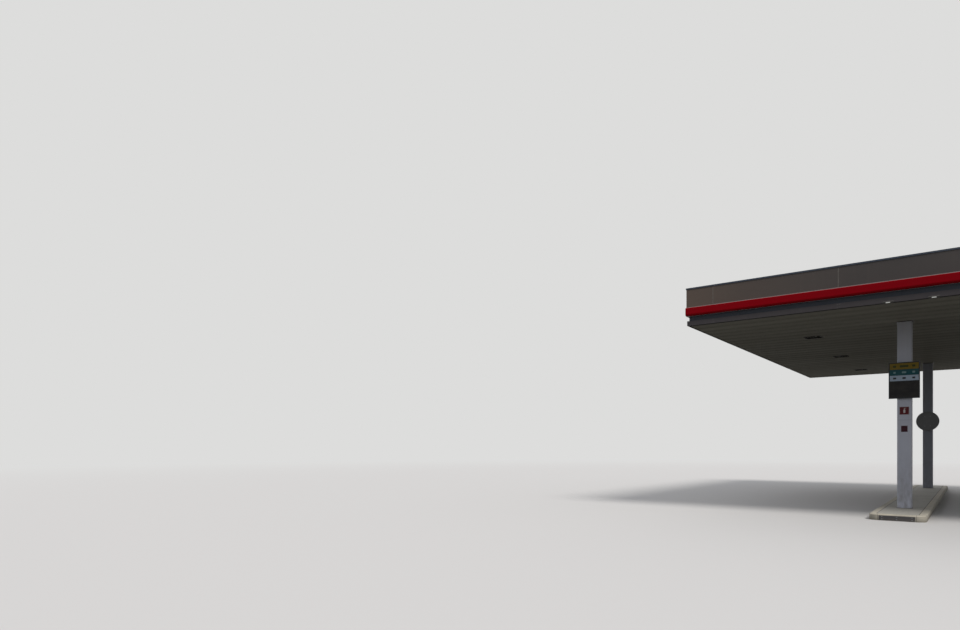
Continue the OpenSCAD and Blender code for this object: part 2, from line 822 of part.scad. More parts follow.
module info_panels() {
    face_w = panel_w - 2 * panel_frame;
    face_h = panel_h - 2 * panel_frame;
    bar_h = 50;
    at_bar = 0.22;
    color(GREY) for (row = [-1, 1]) on_column_face(row, -1) {
        translate([0, -panel_standoff - panel_t, panel_z]) difference() {
            translate([-panel_w / 2, 0, 0]) cube([panel_w, panel_t, panel_h]);
            translate([-face_w / 2, -past, panel_frame])
                cube([face_w, panel_recess + past, face_h]);
        }
        for (part = [at_bar, 1 - at_bar])
            translate([-casing_w / 2, -panel_standoff, panel_z + part * panel_h - bar_h / 2])
                cube([casing_w, panel_standoff, bar_h]);
    }
}

module sign_plates() {
    color(RED) for (row = [-1, 1]) on_column_face(row, -1) {
        translate([-sign_w / 2, -sign_t, sign_z]) cube([sign_w, sign_t, sign_h]);
        translate([-tag_w / 2, -sign_t, tag_z]) cube([tag_w, sign_t, tag_h]);
    }
}

module round_plates() {
    bar_l = disc_d * 0.6;
    bar_h = 40;
    color(GREY) for (row = [-1, 1]) on_column_face(row, 1) {
        translate([0, -disc_standoff, disc_z]) rotate([90, 0, 0]) rotate_extrude() {
            translate([0, disc_rim - disc_t]) square([disc_d / 2, disc_t]);
            translate([disc_d / 2 - disc_t, 0]) square([disc_t, disc_rim]);
        }
        for (part = [-1, 1])
            translate([-casing_w / 2, -disc_standoff - disc_rim + disc_t,
                       disc_z + part * disc_d / 4 - bar_h / 2])
                cube([casing_w, disc_standoff + disc_rim - disc_t, bar_h]);
    }
}

kerb(-1);  // kerb_left
kerb(1);  // kerb_right
infill(-1);  // infill_left
infill(1);  // infill_right
nose_plates();
post(-1, -1);  // post_front_left
post(1, -1);  // post_front_right
post(-1, 1);  // post_back_left
post(1, 1);  // post_back_right
casing(-1, -1);  // casing_front_left
casing(1, -1);  // casing_front_right
casing(-1, 1);  // casing_back_left
casing(1, 1);  // casing_back_right
main_beam(-1);  // main_beam_left
main_beam(1);  // main_beam_right
cross_beams();
edge_channels();
roof_deck(-1);  // roof_deck_front
roof_deck(1);  // roof_deck_back
gutter();
roof_flashings();
fascia_posts();
fascia_rails();
fascia(FRONT);  // fascia_front
fascia(RIGHT);  // fascia_right
fascia(BACK);  // fascia_back
fascia(LEFT);  // fascia_left
coping();
band(FRONT, square_start = true);  // band_front
band(RIGHT);  // band_right
band(BACK, square_end = true);  // band_back
band_trim();
recess();
edge_trim();
ceiling(0, plank_third - 1);  // ceiling_front
ceiling(plank_third, plank_n - plank_third - 1);  // ceiling_middle
ceiling(plank_n - plank_third, plank_n - 1);  // ceiling_back
carriers();
hangers();
lamps();
lamp_glasses();
spotlights();
info_panels();
sign_plates();
round_plates();
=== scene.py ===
"""Filling station canopy: finishes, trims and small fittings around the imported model.

Everything is in metres in the model's own frame: X along the front fascia, Y from front to back, Z up.
"""

import math

import bmesh
import bpy
from mathutils import Matrix, Vector


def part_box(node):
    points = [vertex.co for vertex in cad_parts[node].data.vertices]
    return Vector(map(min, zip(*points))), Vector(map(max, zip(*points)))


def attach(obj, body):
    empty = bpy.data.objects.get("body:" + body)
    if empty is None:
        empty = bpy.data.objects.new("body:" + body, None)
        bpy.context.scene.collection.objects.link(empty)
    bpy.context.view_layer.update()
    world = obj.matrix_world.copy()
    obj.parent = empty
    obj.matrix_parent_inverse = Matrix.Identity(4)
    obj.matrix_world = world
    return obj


MM = 0.001
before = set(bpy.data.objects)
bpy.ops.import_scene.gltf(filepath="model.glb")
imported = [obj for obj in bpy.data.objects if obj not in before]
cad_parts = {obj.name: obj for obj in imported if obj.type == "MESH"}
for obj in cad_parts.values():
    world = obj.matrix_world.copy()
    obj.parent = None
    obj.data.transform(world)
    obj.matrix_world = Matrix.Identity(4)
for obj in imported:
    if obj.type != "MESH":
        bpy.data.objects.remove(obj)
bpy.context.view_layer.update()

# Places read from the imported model
FRONT_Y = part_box("fascia_front")[0].y
BACK_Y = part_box("fascia_back")[1].y
LEFT_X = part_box("fascia_left")[0].x
RIGHT_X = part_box("fascia_right")[1].x
MIDDLE_X = (LEFT_X + RIGHT_X) / 2
CEILING_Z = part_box("ceiling_front")[0].z
ISLAND_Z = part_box("infill_left")[1].z
ROOF_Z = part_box("coping")[1].z
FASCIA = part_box("fascia_front")
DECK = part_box("roof_deck_front")
DECK_HALVES = [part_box("roof_deck_" + half) for half in ("front", "back")]
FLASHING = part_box("roof_flashings")
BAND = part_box("band_front")
EDGE_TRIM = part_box("edge_trim")
KERBS = [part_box("kerb_" + side) for side in ("left", "right")]
ISLAND_L = KERBS[0][1].y - KERBS[0][0].y
ISLAND_W = KERBS[0][1].x - KERBS[0][0].x
COLUMN_NAMES = ("front_left", "front_right", "back_left", "back_right")
CASINGS = [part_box("casing_" + name) for name in COLUMN_NAMES]
COLUMNS = [((low + high) / 2).to_2d() for low, high in CASINGS]
ROW_X = [COLUMNS[0].x, COLUMNS[1].x]
PLANKS_FIRST_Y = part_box("ceiling_front")[0].y
PLANKS_LAST_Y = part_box("ceiling_back")[1].y

# Sizes of the pieces that the fittings sit on
CASING_W = 320 * MM
CASING_R = 18 * MM
SHEET_T = 3 * MM
END_PANEL = 710 * MM
PANEL_GAP = 12 * MM
PANEL_COUNTS = {"front": 6, "right": 5, "back": 6, "left": 5}
COPING_OUT = 12 * MM
COPING_H = 35 * MM
COPING_INNER = 162 * MM
COPING_T = 4 * MM
BAND_LOW_R = 56 * MM
BAND_TOP_R = 22 * MM
BAND_TRIM_OUT = 6 * MM
EDGE_TRIM_IN = 15 * MM
EDGE_TRIM_FOOT = 33 * MM
FLASHING_IN = 150 * MM
FLASHING_FOOT = 120 * MM
KERB_W = 150 * MM
KERB_R = 190 * MM
KERB_BEVEL = 22 * MM
RIB_COUNT = 55
RIB_PITCH = 333 * MM
RIB_TOP = 110 * MM
RIB_SIDE = 28 * MM
GUTTER_W = 300 * MM
GUTTER_H = 120 * MM
OUTLET_X = 4570 * MM
OUTLET_D = 110 * MM
BEAM_FIRST = 253 * MM
BEAM_PITCH = 1939.9 * MM
BEAM_COUNT = 4
PLANK_COUNT = 29
PLANK_PITCH = (PLANKS_LAST_Y - PLANKS_FIRST_Y) / PLANK_COUNT
LAMP_W = 420 * MM
LAMP_RIM = 22 * MM
LAMP_RIM_T = 6 * MM

# The eye stands in front of the roof's left front corner, at the height of a tripod
EYE_RIGHT_OF_CORNER = 6.204
EYE_BEFORE_FASCIA = 17.269
EYE_HEIGHT = 1.73
EYE_TURN = math.radians(37.53)
LENS_MM = 24.15
FRAME_PX = (960, 630)
# A lens shift puts the photograph's horizon this far down the frame. The frame is then set lower,
# so that the other views, which keep the shift, hold the whole canopy.
HORIZON_PX = 501.6
FRAME_DROP_PX = 54


def place_camera():
    data = bpy.data.cameras.new("camera")
    data.sensor_width = 36
    data.lens = LENS_MM
    data.shift_y = (HORIZON_PX - FRAME_DROP_PX - FRAME_PX[1] / 2) / FRAME_PX[0]
    data.clip_end = 2000
    eye = bpy.data.objects.new("camera", data)
    eye.location = (LEFT_X + EYE_RIGHT_OF_CORNER, FRONT_Y - EYE_BEFORE_FASCIA, EYE_HEIGHT)
    eye.rotation_euler = (math.pi / 2, 0, EYE_TURN)
    bpy.context.scene.collection.objects.link(eye)
    bpy.context.scene.camera = eye


place_camera()


# Materials

# The heights between which splashed dirt, the ground's damp and silt fade out, and the places along X
# between which the painted reflection that lightens and warms the left end of the fascia fades out
SPLASH = (ISLAND_Z, ISLAND_Z + 1.5)
DAMP = (0.0, 90 * MM)
SILT = (DECK[0].z + 4 * MM, DECK[0].z + 12 * MM)
REFLECTION_SPAN = (LEFT_X, LEFT_X + 5.5)


def linear(hex_colour):
    """An sRGB hex colour as the linear RGBA that a socket takes."""
    values = [int(hex_colour[i:i + 2], 16) / 255 for i in (1, 3, 5)]
    return [v / 12.92 if v <= 0.04045 else ((v + 0.055) / 1.055) ** 2.4 for v in values] + [1.0]


def add(tree, kind, inputs=None, **settings):
    """Adds a shader node, sets it up and links or sets its inputs."""
    node = tree.nodes.new("ShaderNode" + kind)
    for name, value in settings.items():
        setattr(node, name, value)
    for key, value in (inputs or {}).items():
        if isinstance(value, bpy.types.NodeSocket):
            tree.links.new(value, node.inputs[key])
        else:
            node.inputs[key].default_value = value
    return node


def start(name, colour, roughness, metallic=0.0, **sockets):
    """A material with its shader's constant sockets set, its tree, and the place to pattern it by."""
    material = bpy.data.materials.new(name)
    material.use_nodes = True
    tree = material.node_tree
    shader = tree.nodes["Principled BSDF"]
    shader.inputs["Base Color"].default_value = linear(colour)
    shader.inputs["Roughness"].default_value = roughness
    shader.inputs["Metallic"].default_value = metallic
    for key, value in sockets.items():
        shader.inputs[key.replace("_", " ")].default_value = value
    return material, tree, add(tree, "TexCoord").outputs["Object"]


def patches(tree, place, size, low, high, detail=3.0, seed=0.0):
    """Cloudy patches from 0 to 1; size is a patch's width along X, Y and Z in metres."""
    placed = add(tree, "Mapping", {"Vector": place, "Location": (seed, seed, seed),
                                   "Scale": [1 / s for s in size]})
    cloud = add(tree, "TexNoise", {"Vector": placed.outputs[0], "Scale": 1.0, "Detail": detail})
    return add(tree, "MapRange", {"Value": cloud.outputs["Fac"], "From Min": low, "From Max": high},
               clamp=True).outputs[0]


def fading(tree, place, axis, first, last):
    """1 at the first place along an axis, falling to 0 at the last."""
    along = add(tree, "SeparateXYZ", {0: place}).outputs[axis]
    return add(tree, "MapRange", {"Value": along, "From Min": first, "From Max": last,
                                  "To Min": 1.0, "To Max": 0.0}, clamp=True).outputs[0]


def facing_up(tree):
    """1 on faces that look up, 0 on walls and undersides."""
    normal = add(tree, "NewGeometry").outputs["Normal"]
    z = add(tree, "SeparateXYZ", {0: normal}).outputs["Z"]
    return add(tree, "MapRange", {"Value": z, "From Min": 0.4, "From Max": 0.95}, clamp=True).outputs[0]


def surface(material, colour, tints, rough=None, relief=(), into="Base Color"):
    """Finishes a material. Each tint is a colour, the most that it covers and the masks that must all be
    high where it shows. rough is a mask and the two ends of the roughness, and relief is masks with
    their depths in metres. Tints and relief that come later lie on top."""
    tree = material.node_tree
    shader = tree.nodes["Principled BSDF"]
    painted = linear(colour)
    for tint, amount, mask, *others in tints:
        for factor in (*others, amount):
            mask = add(tree, "Math", {0: mask, 1: factor}, operation="MULTIPLY").outputs[0]
        painted = add(tree, "Mix", {0: mask, 6: painted, 7: linear(tint)}, data_type="RGBA").outputs[2]
    tree.links.new(painted, shader.inputs[into])
    if rough:
        mask, low, high = rough
        spread = add(tree, "MapRange", {"Value": mask, "To Min": low, "To Max": high})
        tree.links.new(spread.outputs[0], shader.inputs["Roughness"])
    below = {}
    for mask, depth in relief:
        bump = add(tree, "Bump", {"Height": mask, "Distance": depth, "Strength": 1.0, **below})
        below = {"Normal": bump.outputs[0]}
    if below:
        tree.links.new(below["Normal"], shader.inputs["Normal"])
    return material


def powder_coat(name, colour, roughness, dust="#8f887c", streak=0.1, grime=None, reflection_span=None, shine=0.25):
    """Powder-coated aluminium sheet: a satin skin with a faint orange peel, sheet that isn't quite flat,
    and dust that lies on its ledges and that rain draws into upright streaks. grime gives the heights
    between which dirt thrown up from the ground fades out. The span along X given for the left end is
    where a painted reflection, a lighter and warmer tone, fades out."""
    material, tree, place = start(name, colour, roughness, Specular_IOR_Level=shine)
    tints = [(dust, 0.08, patches(tree, place, (1.3, 1.3, 0.6), 0.35, 0.7))]
    # Painted reflection: the left end is lighter and warmer, fading out along X
    if reflection_span:
        pale = fading(tree, place, "X", *reflection_span)
        tints.append(("#937861", 0.24, pale, pale))
    runs = patches(tree, place, (0.09, 0.09, 1.4), 0.55, 0.8, seed=3.0)
    settled = patches(tree, place, (0.5, 0.5, 0.5), 0.2, 0.75, detail=5.0)
    tints += [(dust, streak, runs), ("#8f8a80", 0.22, facing_up(tree), settled)]
    if grime:
        spots = patches(tree, place, (0.07, 0.07, 0.2), 0.3, 0.7, detail=5.0, seed=7.0)
        tints.append(("#6d645a", 0.6, fading(tree, place, "Z", *grime), spots))
    waves = patches(tree, place, (1.2, 1.2, 0.5), 0.2, 0.8, detail=1.0, seed=11.0)
    # The real peel is about 2 mm across, which is drawn at 6 mm so that it shows
    peel = patches(tree, place, (6 * MM,) * 3, 0.3, 0.7, detail=1.0)
    return surface(material, colour, tints, (runs, roughness, roughness + 0.1),
                   [(waves, 0.15 * MM), (peel, 0.02 * MM)])


def moulded_band(name, colour):
    """Moulded acrylic band: the colour goes through it, so it stays deep, with a soft sheen along its curve
    and a thin film of dust on top."""
    material, tree, place = start(name, colour, 0.42, Specular_IOR_Level=0.05)
    faded = patches(tree, place, (2.4, 2.4, 1.2), 0.35, 0.75)
    film = patches(tree, place, (0.35, 0.35, 0.6), 0.5, 0.85, detail=4.0, seed=5.0)
    settled = patches(tree, place, (0.2, 0.2, 0.2), 0.3, 0.65, detail=5.0)
    tints = [("#7c000d", 0.3, faded), ("#7d2b2a", 0.06, film), ("#9c8a83", 0.25, facing_up(tree), settled)]
    waves = patches(tree, place, (1.4, 1.4, 0.5), 0.2, 0.8, detail=1.0)
    return surface(material, colour, tints, (film, 0.38, 0.5), [(waves, 0.2 * MM)])


def coil_coat(name, colour, first_y, pitch):
    """Coil-coated ceiling planks: smooth, semi-matt sheet drawn through rollers, so each plank has its own
    slight tone, bows a little between its folded edges, and is darker towards its joints, darkest right
    by each."""
    # The specular level is far below a typical 0.5, so that the pale floor doesn't veil the ceiling
    material, tree, place = start(name, colour, 0.42, Specular_IOR_Level=0.0002)
    steps = add(tree, "SeparateXYZ", {0: place}).outputs["Y"]
    for operation, value in (("SUBTRACT", first_y), ("DIVIDE", pitch)):
        steps = add(tree, "Math", {0: steps, 1: value}, operation=operation).outputs[0]
    index = add(tree, "Math", {0: steps}, operation="FLOOR").outputs[0]
    lot = add(tree, "TexWhiteNoise", {"W": index}, noise_dimensions="1D").outputs["Value"]
    dusty = patches(tree, place, (7.0, 2.4, 1.0), 0.35, 0.75, detail=1.0)
    across = add(tree, "Math", {0: steps}, operation="FRACT").outputs[0]
    off_middle = add(tree, "Math", {0: across, 1: 0.5}, operation="SUBTRACT").outputs[0]
    off_middle = add(tree, "Math", {0: off_middle}, operation="ABSOLUTE").outputs[0]
    # Each plank grows darker from its middle towards its joints
    darker_to_joints = add(tree, "MapRange", {"Value": off_middle, "From Min": 0.12, "From Max": 0.46},
               interpolation_type="SMOOTHSTEP", clamp=True).outputs[0]
    # The plank is darkest in about the last 20 mm before each joint
    by_joint = add(tree, "MapRange", {"Value": off_middle, "From Min": 0.46, "From Max": 0.485},
                   clamp=True).outputs[0]
    tints = [("#726e64", 0.2, lot), ("#6f6b61", 0.16, dusty), ("#545045", 0.2, darker_to_joints),
             ("#1d1b17", 0.35, by_joint)]
    bow = add(tree, "Math", {0: off_middle, 1: off_middle}, operation="MULTIPLY").outputs[0]
    return surface(material, colour, tints, (dusty, 0.38, 0.46), [(bow, 3 * MM)])


def galvanised(name, colour, silt=None):
    """Hot-dip galvanised sheet: dull metal with frosty spangles, weathered in bands along the way that
    water runs. silt gives the heights between which dirt lies on the low flats."""
    material, tree, place = start(name, colour, 0.5, metallic=0.45)
    # The real spangle is about 12 mm across, which is drawn at 25 mm so that it shows
    frost = add(tree, "TexVoronoi", {"Vector": place, "Scale": 1 / (25 * MM)}, feature="F1")
    tone = add(tree, "SeparateColor", {0: frost.outputs["Color"]}).outputs[0]
    weathered = patches(tree, place, (0.45, 5.0, 1.0), 0.35, 0.7)
    tints = [("#c9ced0", 0.2, tone), ("#83878a", 0.22, weathered)]
    if silt:
        washed = patches(tree, place, (0.06, 1.8, 1.0), 0.3, 0.65, detail=5.0, seed=4.0)
        tints.append(("#6b665c", 0.45, fading(tree, place, "Z", *silt), washed))
    dents = patches(tree, place, (0.5, 0.9, 0.5), 0.2, 0.8, detail=2.0, seed=8.0)
    return surface(material, colour, tints, (tone, 0.42, 0.58), [(dents, 0.4 * MM)])


def bare_metal(name, colour, roughness):
    """Mill-finish metal, such as drawn aluminium and stainless steel: bright, with fine lines along the
    draw and a dull bloom."""
    material, tree, place = start(name, colour, roughness, metallic=0.8)
    bloom = patches(tree, place, (0.08, 0.08, 0.3), 0.35, 0.7, detail=4.0)
    # The real lines are finer than 1 mm, and are drawn at 4 mm so that they show
    lines = patches(tree, place, (4 * MM, 4 * MM, 0.2), 0.3, 0.7, detail=1.0)
    return surface(material, colour, [("#8a8c8c", 0.4, bloom)], (bloom, roughness, roughness + 0.2),
                   [(lines, 0.02 * MM)])


def primed_steel(name, colour):
    """Rolled steel under primer: matt, a little chalky, with rust just starting in specks."""
    material, tree, place = start(name, colour, 0.6)
    chalk = patches(tree, place, (0.4, 0.4, 0.4), 0.35, 0.7)
    # Real specks are a few millimetres across, and are drawn at 30 mm so that they show
    specks = patches(tree, place, (30 * MM, 30 * MM, 50 * MM), 0.66, 0.8, detail=6.0, seed=6.0)
    scale = patches(tree, place, (12 * MM,) * 3, 0.3, 0.7)
    return surface(material, colour, [("#b2b3b0", 0.3, chalk), ("#7a4a2c", 0.5, specks)],
                   relief=[(scale, 0.15 * MM)])


def cast_concrete(name, colour, brush=0.0):
    """Cast concrete: a pale, matt skin of cement with sand grains, air holes, damp clouds and, on the
    broomed infill, fine ridges across the island, as deep as brush."""
    material, tree, place = start(name, colour, 0.85)
    clouds = patches(tree, place, (0.5, 0.9, 0.3), 0.35, 0.7, detail=5.0)
    # Real grains are about 2 mm across, and are drawn at 6 mm so that they show
    sand = patches(tree, place, (6 * MM,) * 3, 0.35, 0.65, detail=2.0, seed=2.0)
    stains = patches(tree, place, (0.22, 0.3, 0.2), 0.6, 0.75, detail=4.0, seed=9.0)
    tints = [("#8b867b", 0.5, clouds), ("#d3cfc4", 0.25, sand), ("#5b564d", 0.3, stains),
             ("#57524a", 0.6, fading(tree, place, "Z", *DAMP))]
    holes = add(tree, "TexVoronoi", {"Vector": place, "Scale": 1 / (45 * MM)}, feature="F1")
    pits = add(tree, "MapRange", {"Value": holes.outputs["Distance"], "From Min": 0.04, "From Max": 0.12},
               clamp=True).outputs[0]
    relief = [(sand, 0.5 * MM), (pits, 1.2 * MM)]
    if brush:
        relief.append((patches(tree, place, (0.9, 9 * MM, 1.0), 0.3, 0.7, detail=2.0, seed=1.0), brush))
    return surface(material, colour, tints, relief=relief)


def dark_glass(name, colour):
    """Smoked cover glass, etched on its face against glare: it shows the diodes behind it faintly, reflects
    almost nothing and carries a grey film of dust."""
    material, tree, place = start(name, colour, 0.4, Alpha=0.4, Specular_IOR_Level=0.001)
    film = patches(tree, place, (0.1, 0.1, 0.1), 0.4, 0.8, detail=4.0)
    return surface(material, colour, [("#4a4741", 0.3, film)], (film, 0.35, 0.5))


def lens_plastic(name, colour, strength):
    """A lamp's lens: prismatic plastic, which glows evenly where a lamp burns behind it."""
    material, tree, place = start(name, colour, 0.3, Emission_Strength=strength)
    ribs = patches(tree, place, (6 * MM, 0.5, 0.5), 0.3, 0.7)
    return surface(material, colour, [("#ffffff", 0.4, ribs)], relief=[(ribs, 0.4 * MM)],
                   into="Emission Color")


def printed(name, colour):
    """Screen-printed film on sheet metal: an even colour, smooth, with light scuffs and faded clouds."""
    material, tree, place = start(name, colour, 0.45, Specular_IOR_Level=0.15)
    faded = patches(tree, place, (0.25, 0.25, 0.18), 0.35, 0.75)
    scuffs = patches(tree, place, (0.2, 0.2, 8 * MM), 0.6, 0.8, detail=4.0, seed=5.0)
    return surface(material, colour, [("#8c8578", 0.1, faded), ("#6f6a60", 0.15, scuffs)],
                   (scuffs, 0.45, 0.7))


def sandy(name, colour, speck="#3b3833"):
    """Mortar, sealant, rubber and foam: matt, with fine grains or pores."""
    material, tree, place = start(name, colour, 0.9, Specular_IOR_Level=0.2)
    # Real grains and pores are 1 to 2 mm across, and are drawn at 5 mm so that they show
    sand = patches(tree, place, (5 * MM,) * 3, 0.3, 0.7)
    return surface(material, colour, [(speck, 0.4, sand)], relief=[(sand, 0.4 * MM)])


# The fascia's left end carries a painted reflection, lighter and warmer than its paint
FASCIA_PAINT = powder_coat("powder_coat_taupe_grey", "#443f3d", 0.42, dust="#6d645b", reflection_span=REFLECTION_SPAN)
COPING_PAINT = powder_coat("powder_coat_slate", "#3a414d", 0.45, dust="#6d6b66")
CASING_PAINT = powder_coat("powder_coat_pale_grey", "#bdbec6", 0.4, dust="#96918a", grime=SPLASH)
# The back columns have the same pale paint as the front ones; their darker grey is painted shade, for the
# deep shade they stand in
SHADED_CASING_PAINT = powder_coat("powder_coat_grey_painted_shade", "#8d8f97", 0.4, dust="#827d77", grime=SPLASH)
BAND_TRIM_PAINT = powder_coat("powder_coat_silver_grey", "#948c88", 0.42)
EDGE_PAINT = powder_coat("powder_coat_stone_grey", "#484445", 0.45, dust="#6d6660", shine=0.12)
RECESS_PAINT = powder_coat("powder_coat_blue_grey", "#343941", 0.55, dust="#46443f")
LAMP_PAINT = powder_coat("powder_coat_graphite", "#3b3936", 0.6, dust="#4b4843", shine=0.01)
SPOT_PAINT = powder_coat("die_cast_grey", "#4c4a48", 0.5, shine=0.1)
PANEL_PAINT = powder_coat("powder_coat_dark_grey", "#2b2e33", 0.5, dust="#45464a")
DISC_PAINT = powder_coat("powder_coat_ash_grey", "#7b7a79", 0.42, dust="#8b867d")
NOSE_PAINT = powder_coat("worn_grey_paint", "#4b494a", 0.55, streak=0.2, grime=DAMP)
BAND_RED = moulded_band("acrylic_band_red", "#8a000d")
PLANKS = coil_coat("coil_coated_ceiling", "#9d9a91", PLANKS_FIRST_Y, PLANK_PITCH)
DECK_SHEET = galvanised("galvanised_deck", "#a3a8ab", silt=SILT)
FLASHING_SHEET = galvanised("galvanised_flashing", "#aeb3b5")
STEEL = primed_steel("primed_steel", "#8b8e8f")
DRAWN_ALUMINIUM = bare_metal("drawn_aluminium", "#7c766f", 0.6)
STAINLESS = bare_metal("stainless_steel", "#b4b5b6", 0.3)
KERB = cast_concrete("cast_kerb", "#b5ab97")
INFILL = cast_concrete("broomed_concrete", "#9f9a90", brush=0.8 * MM)
GLASS = dark_glass("cover_glass", "#504e4b")
SIGN_RED = printed("printed_red", "#560a15")
SIGN_MAROON = printed("printed_maroon", "#340d1b")
SIGN_WHITE = printed("printed_white", "#cfc7c2")
FIELD_AMBER = printed("printed_amber", "#7c6618")
FIELD_GREEN = printed("printed_green", "#0d4d53")
FIELD_PALE = printed("printed_pale_grey", "#aebcca")
FIELD_DARK = printed("printed_charcoal", "#1f1d1e")
MARK_DARK = printed("printed_ink", "#33373a")
MARK_OLIVE = printed("printed_olive", "#33390f")
MARK_PALE = printed("printed_sage", "#7d9a9b")
LENS = lens_plastic("lit_lens", "#e6e6df", 0.24)
DIODE = lens_plastic("diode_lens", "#c9c7c0", 0.0)
MORTAR = sandy("mortar_joint", "#6f6b62")
SEALANT = sandy("grey_sealant", "#4d4b47")
RUBBER = sandy("epdm_rubber", "#1d1d1e", "#2b2b2c")

NODE_FINISHES = {
    KERB: ["kerb_left", "kerb_right"],
    INFILL: ["infill_left", "infill_right"],
    NOSE_PAINT: ["nose_plates"],
    STEEL: ["post_front_left", "post_front_right", "post_back_left", "post_back_right",
            "main_beam_left", "main_beam_right", "cross_beams", "edge_channels",
            "fascia_posts", "fascia_rails"],
    CASING_PAINT: ["casing_front_left", "casing_front_right"],
    # The back casings' darker grey is painted shade
    SHADED_CASING_PAINT: ["casing_back_left", "casing_back_right"],
    DECK_SHEET: ["roof_deck_front", "roof_deck_back"],
    FLASHING_SHEET: ["gutter", "roof_flashings", "carriers", "hangers"],
    FASCIA_PAINT: ["fascia_front", "fascia_right", "fascia_back", "fascia_left"],
    COPING_PAINT: ["coping"],
    BAND_RED: ["band_front", "band_right", "band_back"],
    BAND_TRIM_PAINT: ["band_trim"],
    EDGE_PAINT: ["edge_trim"],
    RECESS_PAINT: ["recess"],
    PLANKS: ["ceiling_front", "ceiling_middle", "ceiling_back"],
    LAMP_PAINT: ["lamps"],
    GLASS: ["lamp_glasses"],
    SPOT_PAINT: ["spotlights"],
    PANEL_PAINT: ["info_panels"],
    SIGN_RED: ["sign_plates"],
    DISC_PAINT: ["round_plates"],
}


def dress_nodes():
    for material, names in NODE_FINISHES.items():
        for name in names:
            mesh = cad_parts[name].data
            mesh.materials.clear()
            mesh.materials.append(material)


dress_nodes()


# Modelling helpers
def at(x, y, z=0.0):
    """The place at a point, not turned."""
    return Matrix.Translation((x, y, z))


def new_verts(made):
    return [part for part in made["geom"] if isinstance(part, bmesh.types.BMVert)]


def blocks(*boxes):
    """A part made of boxes; each is its two corners and the radius of its edges."""
    bm = bmesh.new()
    for low, high, radius in boxes:
        middle = (Vector(low) + Vector(high)) / 2
        size = Vector(high) - Vector(low)
        made = bmesh.ops.create_cube(bm, size=1.0, matrix=at(*middle) @ Matrix.Diagonal((*size, 1)))
        if radius:
            edges = list({edge for vert in made["verts"] for edge in vert.link_edges})
            bmesh.ops.bevel(bm, geom=edges, offset=radius, segments=2, affect="EDGES", profile=0.5,
                            material=-1)
    return bm


def bar(profile, length):
    """A solid bar as a part: a closed outline of (y, z) points, drawn length along X about the middle."""
    bm = bmesh.new()
    face = bm.faces.new([bm.verts.new((-length / 2, y, z)) for y, z in profile])
    grown = bmesh.ops.extrude_face_region(bm, geom=[face], use_keep_orig=True)
    bmesh.ops.translate(bm, verts=new_verts(grown), vec=(length, 0, 0))
    return bm


def folded(profile, length, thickness, radius=0.0):
    """A folded sheet as a part: a line through (y, z) points, drawn length along X about the middle, its
    bends rounded and its thickness on the inner side of the bends."""
    bm = bmesh.new()
    verts = [bm.verts.new((-length / 2, y, z)) for y, z in profile]
    line = [bm.edges.new(pair) for pair in zip(verts, verts[1:])]
    grown = bmesh.ops.extrude_edge_only(bm, edges=line)
    bmesh.ops.translate(bm, verts=new_verts(grown), vec=(length, 0, 0))
    if radius:
        bends = [edge for edge in bm.edges if len(edge.link_faces) == 2]
        bmesh.ops.bevel(bm, geom=bends, offset=radius, segments=3, affect="EDGES", profile=0.5, material=-1)
    bmesh.ops.recalc_face_normals(bm, faces=list(bm.faces))
    bmesh.ops.solidify(bm, geom=list(bm.faces), thickness=thickness)
    return bm


def plate(width, depth, radius, height, inset=0.0):
    """A plate with round corners as a part, standing on Z = 0. With an inset it is a ring that wide."""
    bm = bmesh.new()
    bmesh.ops.create_grid(bm, x_segments=1, y_segments=1, size=0.5,
                          matrix=Matrix.Diagonal((width, depth, 1, 1)))
    bmesh.ops.bevel(bm, geom=list(bm.verts), offset=radius, segments=5, affect="VERTICES", profile=0.5,
                    material=-1)
    middle = list(bm.faces)[0]
    if inset:
        bmesh.ops.inset_individual(bm, faces=[middle], thickness=inset)
        bmesh.ops.delete(bm, geom=[middle], context="FACES_ONLY")
    grown = bmesh.ops.extrude_face_region(bm, geom=list(bm.faces), use_keep_orig=True)
    bmesh.ops.translate(bm, verts=new_verts(grown), vec=(0, 0, height))
    return bm


def turned(*steps, sides=10):
    """A turned part standing on Z = 0; each step is its lower radius, its upper radius and its height."""
    bm = bmesh.new()
    z = 0.0
    for low, high, height in steps:
        bmesh.ops.create_cone(bm, cap_ends=True, segments=sides, radius1=low, radius2=high, depth=height,
                              matrix=at(0, 0, z + height / 2))
        z += height
    return bm


def rivet(radius):
    """A rivet or pan head."""
    return turned((radius, radius * 0.65, radius * 0.5), sides=8)


def hexagon_bolt(radius):
    """A hexagon head on its washer."""
    bm = turned((radius * 1.6, radius * 1.5, radius * 0.3), sides=12)
    bmesh.ops.create_cone(bm, cap_ends=True, segments=6, radius1=radius, radius2=radius * 0.92,
                          depth=radius * 0.7, matrix=at(0, 0, radius * 0.65))
    return bm


def arc(centre, radius, first, last, steps=6):
    """Points (y, z) on an arc; angles are in degrees from the Y axis towards Z."""
    angles = [math.radians(first + (last - first) * i / steps) for i in range(steps + 1)]
    return [(centre[0] + radius * math.cos(a), centre[1] + radius * math.sin(a)) for a in angles]


def stamp(bm, part, places):
    """Adds a copy of a part to a piece at each place, and frees the part."""
    bmesh.ops.recalc_face_normals(part, faces=list(part.faces))
    mesh = bpy.data.meshes.new("part")
    part.to_mesh(mesh)
    part.free()
    for place in places:
        copy = mesh.copy()
        copy.transform(place)
        bm.from_mesh(copy)
        bpy.data.meshes.remove(copy)
    bpy.data.meshes.remove(mesh)


def piece(name, material, slot, *stamps):
    """Makes a piece of the canopy from its stamps, which are parts with the places of their copies."""
    bm = bmesh.new()
    for part, places in stamps:
        stamp(bm, part, places)
    bmesh.ops.recalc_face_normals(bm, faces=list(bm.faces))
    mesh = bpy.data.meshes.new(name)
    bm.to_mesh(mesh)
    bm.free()
    mesh.materials.append(material)
    made = bpy.data.objects.new(name, mesh)
    bpy.context.scene.collection.objects.link(made)
    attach(made, "root")


